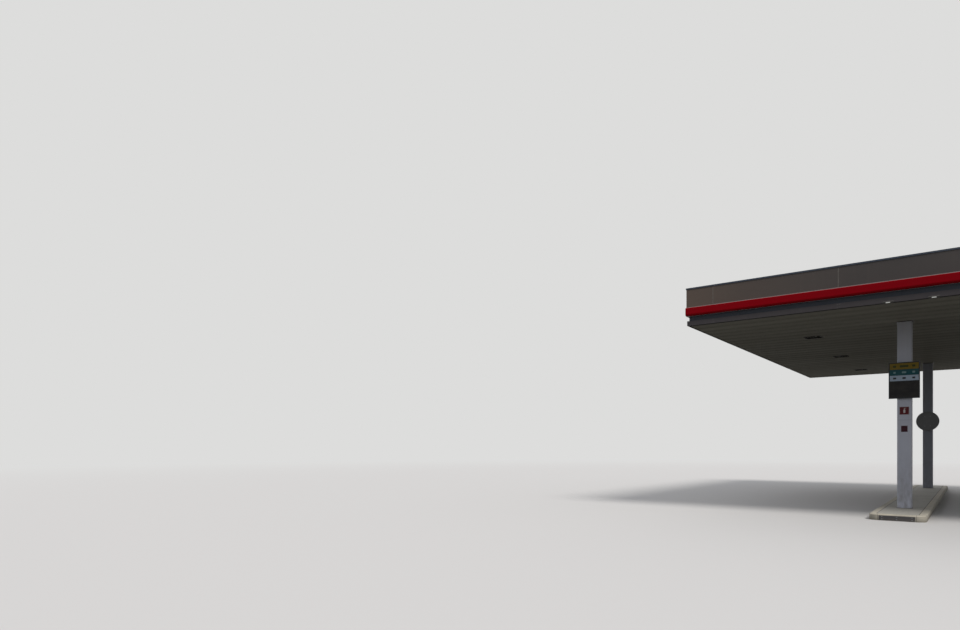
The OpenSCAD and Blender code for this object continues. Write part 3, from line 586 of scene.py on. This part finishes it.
# Places on the four sides, each drawn as the front is, with Y = 0 at the face and Y growing inwards
SIDES = ("front", "right", "back", "left")
TO_FRONT = Matrix.Rotation(math.radians(90), 4, "X")
TO_BACK = Matrix.Rotation(math.radians(-90), 4, "X")
TO_GROUND = Matrix.Rotation(math.radians(180), 4, "X")


def on_face(centre, reach, side, along=0.0, behind=0.0, height=0.0):
    """The place along a side of something reach from its centre to that face."""
    turn = Matrix.Rotation(math.radians(90) * SIDES.index(side), 4, "Z")
    return at(centre[0], centre[1]) @ turn @ at(along, behind - reach, height)


def side_half(side):
    """Half the length of a side of the roof."""
    return (RIGHT_X - LEFT_X) / 2 if side in ("front", "back") else (BACK_Y - FRONT_Y) / 2


def on_roof(side, along=0.0, behind=0.0, height=0.0):
    reach = side_half(SIDES[(SIDES.index(side) + 1) % 4])
    return on_face((MIDDLE_X, 0), reach, side, along, behind, height)


def joints(side):
    """The joints between the fascia panels of a side, measured from its middle."""
    run = side_half(side) - END_PANEL
    count = PANEL_COUNTS[side]
    return [-run + 2 * run * i / count for i in range(count + 1)]


def at_joints(sides=SIDES, shifts=(0.0,), **place):
    return [on_roof(side, along=joint + shift, **place)
            for side in sides for joint in joints(side) for shift in shifts]


# Roof edge
STRAP_OFF = 1.3 * MM
STRAP_RIVETS = (-30 * MM, 30 * MM)
MITRE_PLATE = (140 * MM, 60 * MM, 3 * MM)
MITRE_IN = 75 * MM
COVER_OFF = 1 * MM
COVER_RIVETS = (-22 * MM, 22 * MM)
COVER_RIVET_LIFT = 35 * MM


def fascia_joints():
    """A drawn aluminium profile in each joint of the fascia, and a rubber strip behind each corner."""
    bottom, top = FASCIA[0].z + 1 * MM, FASCIA[1].z - 1 * MM
    half = PANEL_GAP / 2 - 0.5 * MM
    profile = blocks(((-half, 2 * MM, bottom), (half, 5 * MM, top), 0.8 * MM),
                     ((-1.5 * MM, 4 * MM, bottom), (1.5 * MM, 38 * MM, top), 0))
    piece("fascia_joint_profiles", DRAWN_ALUMINIUM, "trim_pale", (profile, at_joints()))
    strip = blocks(((-7 * MM, -7 * MM, bottom), (7 * MM, 7 * MM, top), 2 * MM))
    corners = [on_roof(side, along=side_half(side) - 12 * MM, behind=12 * MM) for side in SIDES]
    piece("fascia_corner_strips", RUBBER, "recess_dark", (strip, corners))


def coping_straps():
    """Straps over the coping's joints, and a plate under each of its mitres."""
    out, up, inner = -COPING_OUT - STRAP_OFF, ROOF_Z + STRAP_OFF, COPING_INNER + STRAP_OFF
    low = ROOF_Z - COPING_H - COPING_T + 2 * MM
    strap = folded([(out, low), (out, up), (inner, up), (inner, low)], 90 * MM, 1.2 * MM, 3 * MM)
    length, width, depth = MITRE_PLATE
    mitre = blocks(((-length / 2, -width / 2, -depth), (length / 2, width / 2, 0), 1 * MM))
    under = ROOF_Z - COPING_T - 0.3 * MM
    corners = [on_roof(side, along=side_half(side) - MITRE_IN, behind=MITRE_IN, height=under)
               @ Matrix.Rotation(math.radians(-45), 4, "Z") for side in SIDES]
    piece("coping_straps", COPING_PAINT, "coping_dark", (strap, at_joints()), (mitre, corners))


def band_sleeves():
    """Thin sleeves over the joints of the band, which follow its curve."""
    out = FRONT_Y - BAND[0].y
    proud = 0.8 * MM
    low, top = BAND[0].z, BAND[1].z
    line = [(-4 * MM, low - proud)]
    line += arc((-out + BAND_LOW_R, low + BAND_LOW_R), BAND_LOW_R + proud, 270, 180)
    line += arc((-out + BAND_TOP_R, top - BAND_TOP_R), BAND_TOP_R + proud, 180, 90)
    line += [(-BAND_TRIM_OUT - 2 * MM, top + proud)]
    piece("band_sleeves", BAND_RED, "band_red",
          (folded(line, 40 * MM, 0.7 * MM), at_joints(("front", "right", "back"))))


def left_cover_sheets():
    """Cover sheets on the left side, which has no band, one under each fascia panel."""
    low, high = BAND[0].z + 1 * MM, BAND[1].z - 1 * MM
    line = [(30 * MM, low), (-1.5 * MM, low), (-1.5 * MM, high), (30 * MM, high)]
    half = side_half("left")
    ends = [-half] + joints("left") + [half]
    sheets = [(folded(line, last - first - 4 * MM, 1.3 * MM, 3 * MM),
               [on_roof("left", along=(first + last) / 2)]) for first, last in zip(ends, ends[1:])]
    piece("left_cover_sheets", FASCIA_PAINT, "fascia_grey", *sheets)


def edge_trim_covers():
    """Cover plates over the joints of the ceiling's edge trim."""
    face = EDGE_TRIM_IN - COVER_OFF
    low, top = CEILING_Z - COVER_OFF, EDGE_TRIM[1].z - 6 * MM
    line = [(face, top), (face, low), (EDGE_TRIM_IN + EDGE_TRIM_FOOT, low)]
    piece("edge_trim_covers", EDGE_PAINT, "trim_pale",
          (folded(line, 70 * MM, 0.9 * MM, 2 * MM), at_joints()))


def edge_rivets():
    """Rivets on the trim's cover plates, four to each, and on the coping's straps."""
    face = EDGE_TRIM_IN - COVER_OFF
    middle = (CEILING_Z + EDGE_TRIM[1].z) / 2
    coping_z = ROOF_Z - COPING_H / 2
    stamps = []
    for turn, shifts, behind, height in (
            (TO_FRONT, COVER_RIVETS, face, middle - COVER_RIVET_LIFT),
            (TO_FRONT, COVER_RIVETS, face, middle + COVER_RIVET_LIFT),
            (TO_FRONT, STRAP_RIVETS, -COPING_OUT - STRAP_OFF, coping_z),
            (TO_BACK, STRAP_RIVETS, COPING_INNER + STRAP_OFF, coping_z)):
        places = at_joints(shifts=shifts, behind=behind, height=height)
        stamps.append((rivet(5 * MM), [place @ turn for place in places]))
    piece("edge_rivets", STAINLESS, "trim_pale", *stamps)


def ceiling_seals():
    """A rubber bead in the joint between the edge trim's foot and the planks, all round the ceiling."""
    first = PLANKS_FIRST_Y - FRONT_Y
    foot = EDGE_TRIM_IN + EDGE_TRIM_FOOT
    line = [(foot + 1 * MM, CEILING_Z + 3 * MM), (foot + 1 * MM, CEILING_Z - 5 * MM)]
    line += arc(((foot + first) / 2, CEILING_Z - 5 * MM), (first - foot) / 2 - 1 * MM, 180, 360)
    line += [(first - 1 * MM, CEILING_Z + 3 * MM)]
    piece("ceiling_seals", RUBBER, "recess_dark",
          *[(bar(line, 2 * side_half(side) - 2 * foot - 1 * MM), [on_roof(side)]) for side in SIDES])


# Roof deck
RIBS = range(RIB_COUNT)
VALLEYS = range(RIB_COUNT - 1)
LAP_RIBS = range(1, RIB_COUNT, 3)
LAP_OFF = 1.2 * MM
LAP_SCREW_FIRST = 0.35
LAP_SCREW_PITCH = 0.6
GUTTER_STRAPS_X = (-6.2, -3.1, 0, 3.1, 6.2)
ALONG_Y = Matrix.Rotation(math.radians(-90), 4, "Z")
BEAM_LINES = [half * (BEAM_FIRST + i * BEAM_PITCH) for half in (-1, 1) for i in range(BEAM_COUNT)]


def rib_x(index):
    return MIDDLE_X + (index - (RIB_COUNT - 1) / 2) * RIB_PITCH


def deck_laps():
    """The edge of every deck sheet, lapped over the rib of the next, which comes after three ribs."""
    low, high = DECK[0].z + SHEET_T + LAP_OFF, DECK[1].z + LAP_OFF
    edge = RIB_TOP / 2
    foot = edge + RIB_SIDE
    line = [(edge - 35 * MM, high), (edge, high), (foot + 1 * MM, low), (foot + 16 * MM, low)]
    laps = []
    for box_low, box_high in DECK_HALVES:
        middle = (box_low.y + box_high.y) / 2
        laps.append((folded(line, box_high.y - box_low.y - 2 * MM, 1 * MM),
                     [at(rib_x(i), middle) @ ALONG_Y for i in LAP_RIBS]))
    piece("deck_laps", FLASHING_SHEET, "roof_sheet", *laps)


def deck_screws():
    """Screws with washers in each valley over each beam, and stitching screws along the laps."""
    valley = DECK[0].z + SHEET_T
    over_beams = [at(rib_x(i) + RIB_PITCH / 2, y, valley) for i in VALLEYS for y in BEAM_LINES]
    on_laps = []
    for box_low, box_high in DECK_HALVES:
        count = int((box_high.y - box_low.y) / LAP_SCREW_PITCH)
        first = box_low.y + LAP_SCREW_FIRST
        on_laps += [at(rib_x(i) + RIB_TOP / 2 - 17 * MM, first + j * LAP_SCREW_PITCH, DECK[1].z + LAP_OFF)
                    for i in LAP_RIBS for j in range(count)]
    piece("deck_screws", STAINLESS, "roof_sheet",
          (turned((10 * MM, 9 * MM, 2.5 * MM), (5 * MM, 4.6 * MM, 5 * MM), sides=8), over_beams),
          (turned((8 * MM, 7 * MM, 1.5 * MM), (4 * MM, 3.7 * MM, 4 * MM), sides=6), on_laps))


def deck_closures():
    """Foam fillers that close the valleys under the flashing and the ribs' ends over the gutter."""
    low, high = DECK[0].z + SHEET_T, DECK[1].z - 0.5 * MM
    base, crown = (RIB_PITCH - RIB_TOP) / 2 - RIB_SIDE - 1 * MM, (RIB_PITCH - RIB_TOP) / 2 - 2 * MM
    filler = [(-base, low), (base, low), (crown, high), (-crown, high)]
    rib, bottom, top = RIB_TOP / 2 - 4 * MM, DECK[0].z, high - SHEET_T
    core = [(-rib - RIB_SIDE, bottom), (rib + RIB_SIDE, bottom), (rib, top), (-rib, top)]
    outer = (BACK_Y - FRONT_Y) / 2 - FLASHING_IN - 60 * MM
    inner = DECK_HALVES[1][0].y + 20 * MM
    stamps = []
    for end in (-1, 1):
        stamps += [(bar(filler, 40 * MM), [at(rib_x(i) + RIB_PITCH / 2, end * outer) @ ALONG_Y
                                           for i in VALLEYS]),
                   (bar(core, 30 * MM), [at(rib_x(i), end * inner) @ ALONG_Y for i in RIBS])]
    piece("deck_closures", RUBBER, "recess_dark", *stamps)


def flashing_laps():
    """Lap straps over the upstand's joints, and the angle that closes it down to the deck's flat edges."""
    wall = FLASHING_IN + SHEET_T + 1 * MM
    foot = DECK[1].z + SHEET_T + 1 * MM
    edge = FLASHING_IN + FLASHING_FOOT
    line = [(wall, FLASHING[1].z - 1 * MM), (wall, foot), (edge, foot)]
    shelf, under = DECK[0].z + SHEET_T + 1.3 * MM, DECK[1].z - 0.3 * MM
    angle = [(edge - 30 * MM, under), (edge - 8 * MM, under), (edge - 8 * MM, shelf),
             (edge + 45 * MM, shelf)]
    piece("flashing_laps", FLASHING_SHEET, "roof_sheet",
          (folded(line, 110 * MM, -0.9 * MM), at_joints()),
          (folded(angle, 2 * side_half("left") - 2 * edge, 1 * MM, 2 * MM),
           [on_roof("left"), on_roof("right")]))


def gutter_fittings():
    """Straps over the gutter's joints and a wire guard over each outlet."""
    floor = DECK[0].z - GUTTER_H + SHEET_T
    half = GUTTER_W / 2 - 0.3 * MM
    line = [(-half, DECK[0].z), (-half, floor + 0.3 * MM), (half, floor + 0.3 * MM), (half, DECK[0].z)]
    piece("gutter_straps", FLASHING_SHEET, "roof_sheet",
          (folded(line, 80 * MM, 1 * MM), [at(MIDDLE_X + x, 0) for x in GUTTER_STRAPS_X]))
    guard = bmesh.new()
    bmesh.ops.create_uvsphere(guard, u_segments=12, v_segments=8, radius=OUTLET_D * 0.6)
    bmesh.ops.bisect_plane(guard, geom=list(guard.verts) + list(guard.edges) + list(guard.faces),
                           plane_co=(0, 0, 0), plane_no=(0, 0, 1), clear_inner=True)
    bmesh.ops.wireframe(guard, faces=list(guard.faces), thickness=3 * MM, use_replace=True,
                        use_boundary=True)
    piece("leaf_guards", STAINLESS, "roof_sheet",
          (guard, [at(MIDDLE_X + x, 0, floor + 2 * MM) for x in (-OUTLET_X, OUTLET_X)]))


# Columns
SEAM_Z = 2.45
CASING_SCREW_FIRST = 0.25
CASING_SCREW_PITCH = 0.62
CASING_SCREW_COUNT = 8


def casing_ring(grow, height, inset, low):
    """A stamp that rings each casing, grow wider than it on each side, inset wide and standing on low."""
    ring = plate(CASING_W + 2 * grow, CASING_W + 2 * grow, CASING_R + grow, height, inset)
    return ring, [at(*column, low) for column in COLUMNS]


def column_collars():
    """An angle frame that closes the ceiling round each column."""
    piece("column_collars", EDGE_PAINT, "ceiling_plank",
          casing_ring(30 * MM, 2 * MM, 29.7 * MM, CEILING_Z - 2.3 * MM),
          casing_ring(2.5 * MM, 16 * MM, 2.2 * MM, CEILING_Z - 18 * MM))


def casing_seams():
    """The seams between the halves of each casing, its cross joint, the bead at its foot and its screws."""
    sides = [(column, side) for column in COLUMNS for side in ("right", "left")]
    reach = CASING_W / 2
    seam = blocks(((-1.5 * MM, -0.4 * MM, ISLAND_Z), (1.5 * MM, 0.4 * MM, CEILING_Z - 17 * MM), 0))
    piece("casing_sealant", SEALANT, "recess_dark",
          (seam, [on_face(column, reach, side) for column, side in sides]),
          casing_ring(0.4 * MM, 3 * MM, 1.5 * MM, SEAM_Z),
          casing_ring(8 * MM, 6 * MM, 8 * MM, ISLAND_Z))
    heights = [ISLAND_Z + CASING_SCREW_FIRST + CASING_SCREW_PITCH * i for i in range(CASING_SCREW_COUNT)]
    places = [on_face(column, reach, side, along=shift, height=z) @ TO_FRONT
              for column, side in sides for z in heights for shift in (-22 * MM, 22 * MM)]
    piece("casing_screws", STAINLESS, "column_casing", (rivet(5 * MM), places))


# Islands
KERB_STONE = 1.0
INFILL_BAYS = 6
NOSE_BOLT_PITCH = 0.3


def kerb_joints():
    """Mortar joints between the kerb stones, and the sealed joints of the infill."""
    skin = 0.5 * MM
    line = [(-skin, 0), (-skin, ISLAND_Z - KERB_BEVEL), (KERB_BEVEL - skin / 2, ISLAND_Z + skin),
            (KERB_W, ISLAND_Z + skin)]
    straight_y, straight_x = ISLAND_L / 2 - KERB_R, ISLAND_W / 2 - KERB_R
    count = round(2 * straight_y / KERB_STONE)
    places = []
    for x in ROW_X:
        for side in ("left", "right"):
            places += [on_face((x, 0), ISLAND_W / 2, side, along=-straight_y + 2 * straight_y * i / count)
                       for i in range(count + 1)]
        for side in ("front", "back"):
            places += [on_face((x, 0), ISLAND_L / 2, side, along=end * straight_x) for end in (-1, 1)]
    piece("kerb_joints", MORTAR, "concrete", (folded(line, 7 * MM, 1 * MM), places))
    inner_w, inner_l = ISLAND_W - 2 * KERB_W, ISLAND_L - 2 * KERB_W
    rim = plate(inner_w + 6 * MM, inner_l + 6 * MM, KERB_R - KERB_W + 3 * MM, 1 * MM, inset=12 * MM)
    joint = blocks(((-inner_w / 2, -5 * MM, -0.4 * MM), (inner_w / 2, 5 * MM, 0.6 * MM), 0))
    piece("island_seals", SEALANT, "concrete",
          (rim, [at(x, 0, ISLAND_Z - 0.3 * MM) for x in ROW_X]),
          (joint, [at(x, inner_l * (i / INFILL_BAYS - 0.5), ISLAND_Z) for x in ROW_X
                   for i in range(1, INFILL_BAYS)]))


def nose_bolts():
    """Round-headed bolts that hold the plate on each island's nose."""
    low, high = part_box("nose_plates")
    middle = (low.z + high.z) / 2
    places = [at(x + NOSE_BOLT_PITCH * step, low.y, middle + lift) @ TO_FRONT for x in ROW_X
              for step in (-1, 0, 1) for lift in (-30 * MM, 30 * MM)]
    piece("nose_bolts", STAINLESS, "nose_plate",
          (turned((9 * MM, 8 * MM, 2 * MM), (6 * MM, 3.5 * MM, 3 * MM)), places))


# Signs
PANEL_RECESS = 6 * MM
PANEL_W = 680 * MM
PANEL_FRAME = 18 * MM
FIELD_T = 2 * MM
FIELD_GAP = 6 * MM
# Each field's height, its finish, the finish of its marks and their widths, from the top down
FIELDS = ((160 * MM, FIELD_AMBER, MARK_OLIVE, (72 * MM, 190 * MM, 66 * MM)),
          (146 * MM, FIELD_GREEN, MARK_PALE, (52 * MM, 96 * MM, 60 * MM)),
          (142 * MM, FIELD_PALE, MARK_DARK, (70 * MM, 74 * MM, 66 * MM)),
          (426 * MM, FIELD_DARK, None, ()))
MARK_SHARES = (-0.66, 0.0, 0.66)
MARK_HEIGHT = 0.34
SIGN = (210 * MM, 205 * MM)
TAG = (140 * MM, 160 * MM)
# The device's body, neck and lever: each one's width, height, corner radius and shift from the middle
DEVICE = ((44 * MM, 92 * MM, 20 * MM, (0, -14 * MM)),
          (18 * MM, 24 * MM, 4 * MM, (0, 46 * MM)),
          (46 * MM, 9 * MM, 4 * MM, (15 * MM, 64 * MM)))
DISC_BOLT_SHIFT = 90 * MM
CORNERS = ((-1, -1), (-1, 1), (1, -1), (1, 1))


def panel_fields():
    """Plain coloured fields on each information panel, with blank marks where words would stand."""
    low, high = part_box("info_panels")
    face_y = low.y + PANEL_RECESS
    half = PANEL_W / 2 - PANEL_FRAME - FIELD_GAP
    stamps = {finish: [] for field in FIELDS for finish in field[1:3] if finish}
    for x in ROW_X:
        top = high.z - PANEL_FRAME - FIELD_GAP
        for height, finish, marks, widths in FIELDS:
            field = blocks(((x - half, face_y - FIELD_T, top - height), (x + half, face_y, top), 0.8 * MM))
            stamps[finish].append((field, [at(0, 0)]))
            for share, width in zip(MARK_SHARES, widths):
                place = at(x + share * half, face_y - FIELD_T + 0.2 * MM, top - height / 2) @ TO_FRONT
                mark = plate(width, height * MARK_HEIGHT, 12 * MM, 0.8 * MM)
                stamps[marks].append((mark, [place]))
            top -= height + FIELD_GAP
    for finish, pairs in stamps.items():
        piece("panel_" + finish.name, finish, "sign_panel", *pairs)


def panel_screws():
    """Screws in the frame of each information panel, three on each side."""
    low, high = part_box("info_panels")
    shift = (PANEL_W - PANEL_FRAME) / 2
    heights = (low.z + PANEL_FRAME / 2, (low.z + high.z) / 2, high.z - PANEL_FRAME / 2)
    places = [at(x + end * shift, low.y, z) @ TO_FRONT for x in ROW_X for end in (-1, 1) for z in heights]
    piece("panel_screws", STAINLESS, "sign_panel", (rivet(4 * MM), places))


def sign_marks():
    """A plain pale device on each upper sign plate, a maroon face on each lower one, and their screws."""
    low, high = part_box("sign_plates")
    marks, tags, screws = [], [], []
    for x in ROW_X:
        sign = at(x, low.y + 0.2 * MM, high.z - SIGN[1] / 2) @ TO_FRONT
        marks += [(plate(width, height, radius, 0.8 * MM), [sign @ at(*shift)])
                  for width, height, radius, shift in DEVICE]
        marks.append((plate(SIGN[0] - 8 * MM, SIGN[1] - 8 * MM, 5 * MM, 0.5 * MM, inset=3 * MM), [sign]))
        tag = at(x, low.y + 0.2 * MM, low.z + TAG[1] / 2) @ TO_FRONT
        tags.append((plate(TAG[0] - 4 * MM, TAG[1] - 4 * MM, 5 * MM, 0.7 * MM), [tag]))
        for place, (width, height) in ((sign, SIGN), (tag, TAG)):
            corners = [place @ at(i * (width / 2 - 12 * MM), j * (height / 2 - 12 * MM))
                       for i, j in CORNERS]
            screws.append((rivet(3.5 * MM), corners))
    piece("sign_marks", SIGN_WHITE, "sign_red", *marks)
    piece("tag_faces", SIGN_MAROON, "sign_red", *tags)
    piece("sign_screws", STAINLESS, "sign_red", *screws)


def disc_bolts():
    """Bolts through the round plates into their two bars, and the rolled bead round each plate's rim."""
    low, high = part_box("round_plates")
    middle = (low.z + high.z) / 2
    radius, bead_r = (high.z - low.z) / 2, 5 * MM
    bead = bmesh.new()
    ring = bmesh.ops.create_circle(bead, segments=8, radius=bead_r,
                                   matrix=at(radius - bead_r, 0) @ TO_FRONT)["verts"]
    bmesh.ops.spin(bead, geom=ring + list(bead.edges), cent=(0, 0, 0), axis=(0, 0, 1), dvec=(0, 0, 0),
                   angle=2 * math.pi, steps=64, use_merge=True)
    piece("disc_beads", DISC_PAINT, "disc_grey",
          (bead, [at(x, low.y, middle) @ TO_FRONT for x in ROW_X]))
    places = [at(x + i * DISC_BOLT_SHIFT, low.y, middle + j * radius / 2) @ TO_FRONT
              for x in ROW_X for i, j in CORNERS]
    piece("disc_bolts", STAINLESS, "disc_grey", (hexagon_bolt(8 * MM), places))


# Lights
SPOT_SHIFTS = (-110 * MM, 750 * MM)
DIODES = 6
BOARD_LIFT = 26 * MM


def spot_lenses():
    """The lit lens and its bezel on the sloping lower face of each spotlight."""
    low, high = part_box("spotlights")
    # The lower face runs from 0.6 of the depth at the bottom to the front at 0.6 of the height
    run, rise = 0.4 * (high.y - low.y), 0.6 * (high.z - low.z)
    lean = Matrix.Rotation(math.pi / 2 + math.atan2(run, rise), 4, "X")
    places = [at(x + shift, low.y + run / 2, low.z + rise / 2) @ lean
              for x in ROW_X for shift in SPOT_SHIFTS]
    piece("spot_lenses", LENS, "spot_housing", (plate(88 * MM, 22 * MM, 10.5 * MM, 2 * MM), places))
    piece("spot_bezels", LAMP_PAINT, "spot_housing",
          (plate(100 * MM, 30 * MM, 14.5 * MM, 3 * MM, inset=4 * MM), places))


def lamp_centres():
    """The middles of the ceiling lamps: four lines of three, beside and between the rows of columns."""
    low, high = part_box("lamp_glasses")
    glass = LAMP_W - 8.6 * MM
    first, last = low.y + glass / 2, high.y - glass / 2
    quarter = (ROW_X[1] - ROW_X[0]) / 4
    centres_x = [LEFT_X + (ROW_X[0] - LEFT_X) / 2, ROW_X[0] + quarter, ROW_X[1] - quarter,
                 RIGHT_X - (RIGHT_X - ROW_X[1]) / 2]
    return [(x, y) for x in centres_x for y in (first, (first + last) / 2, last)]


def lamp_insides():
    """Diode boards behind the glass of each ceiling lamp, the glass's gasket and the screws of its rim."""
    glass_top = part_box("lamp_glasses")[1].z
    inner = LAMP_W - 9 * MM
    centres = lamp_centres()
    board_z = glass_top + BOARD_LIFT
    pitch = inner / DIODES
    steps = [(i - (DIODES - 1) / 2) * pitch for i in range(DIODES)]
    piece("lamp_boards", LAMP_PAINT, "lamp_housing",
          (plate(inner, inner, 6 * MM, 3 * MM), [at(x, y, board_z) for x, y in centres]))
    dome = turned((15 * MM, 12 * MM, 6 * MM), (12 * MM, 6 * MM, 4 * MM), sides=8)
    piece("lamp_diodes", DIODE, "lamp_glass",
          (dome, [at(x + dx, y + dy, board_z) @ TO_GROUND for x, y in centres for dx in steps
                  for dy in steps]))
    piece("lamp_gaskets", RUBBER, "lamp_housing",
          (plate(inner, inner, 6 * MM, 5 * MM, inset=7 * MM),
           [at(x, y, glass_top - 9.3 * MM) for x, y in centres]))
    edge = LAMP_W / 2 + LAMP_RIM / 2
    places = [at(x + i * edge, y + j * edge, CEILING_Z - LAMP_RIM_T) @ TO_GROUND
              for x, y in centres for i, j in CORNERS]
    piece("lamp_screws", STAINLESS, "lamp_housing", (rivet(4 * MM), places))


fascia_joints()
coping_straps()
band_sleeves()
left_cover_sheets()
edge_trim_covers()
edge_rivets()
ceiling_seals()
deck_laps()
deck_screws()
deck_closures()
flashing_laps()
gutter_fittings()
column_collars()
casing_seams()
kerb_joints()
nose_bolts()
panel_fields()
panel_screws()
sign_marks()
disc_bolts()
spot_lenses()
lamp_insides()

# Studio
FLOOR_SEEN = "#cdc9c4"
FLOOR_BOUNCE = "#6a6863"
FLOOR_HALF = 700
FADE_FROM = 26.0
FADE_TO = 75.0
BACKGROUND = "#dddddc"
SKY_LIGHT = "#e1e7f2"
SKY_STRENGTH = 0.64
# Each sun's name, strength and softness, its turn from the front to the right, and its lift from level
SUNS = (("key", 2.15, 20, 62, 50), ("fill", 0.65, 60, -150, 35))


def seen_rays(tree):
    """1 for the rays that show the background: the camera's own and those off or through shiny things."""
    rays = add(tree, "LightPath").outputs
    seen = rays["Is Camera Ray"]
    for kind in ("Is Glossy Ray", "Is Transmission Ray"):
        seen = add(tree, "Math", {0: seen, 1: rays[kind]}, operation="MAXIMUM").outputs[0]
    return seen


def studio_floor():
    """A plain pale floor that keeps the canopy's shadow and fades into the background far away."""
    bm = bmesh.new()
    bmesh.ops.create_grid(bm, x_segments=1, y_segments=1, size=FLOOR_HALF)
    mesh = bpy.data.meshes.new("floor")
    bm.to_mesh(mesh)
    bm.free()
    floor = bpy.data.objects.new("floor", mesh)
    bpy.context.scene.collection.objects.link(floor)
    material = bpy.data.materials.new("studio_floor")
    material.use_nodes = True
    tree = material.node_tree
    tree.nodes.clear()
    place = add(tree, "TexCoord").outputs["Object"]
    seen = seen_rays(tree)
    # A camera sees a pale floor, and bounced light meets a duller one, so that the ceiling stays dark
    tone = add(tree, "Mix", {0: seen, 6: linear(FLOOR_BOUNCE), 7: linear(FLOOR_SEEN)}, data_type="RGBA")
    diffuse = add(tree, "BsdfDiffuse", {"Color": tone.outputs[2]})
    far = add(tree, "Emission", {"Color": linear(BACKGROUND), "Strength": 1.0})
    distance = add(tree, "VectorMath", {0: place}, operation="LENGTH").outputs["Value"]
    fade = add(tree, "MapRange", {"Value": distance, "From Min": FADE_FROM, "From Max": FADE_TO},
               interpolation_type="SMOOTHSTEP", clamp=True).outputs[0]
    share = add(tree, "Math", {0: fade, 1: seen}, operation="MULTIPLY").outputs[0]
    mixed = add(tree, "MixShader", {0: share, 1: diffuse.outputs[0], 2: far.outputs[0]})
    add(tree, "OutputMaterial", {"Surface": mixed.outputs[0]})
    mesh.materials.append(material)


def studio_light():
    """A soft key from the right, a faint fill and an even sky."""
    for name, strength, softness, turn, lift in SUNS:
        data = bpy.data.lights.new(name, "SUN")
        data.energy = strength
        data.angle = math.radians(softness)
        lamp = bpy.data.objects.new(name, data)
        lamp.rotation_euler = (math.radians(90 - lift), 0, math.radians(turn))
        bpy.context.scene.collection.objects.link(lamp)
    world = bpy.data.worlds.new("studio")
    bpy.context.scene.world = world
    world.use_nodes = True
    tree = world.node_tree
    tree.nodes.clear()
    sky = add(tree, "Background", {"Color": linear(SKY_LIGHT), "Strength": SKY_STRENGTH})
    backdrop = add(tree, "Background", {"Color": linear(BACKGROUND), "Strength": 1.0})
    mixed = add(tree, "MixShader", {0: seen_rays(tree), 1: sky.outputs[0], 2: backdrop.outputs[0]})
    add(tree, "OutputWorld", {"Surface": mixed.outputs[0]})
    bpy.context.scene.view_settings.view_transform = "Standard"


studio_floor()
studio_light()
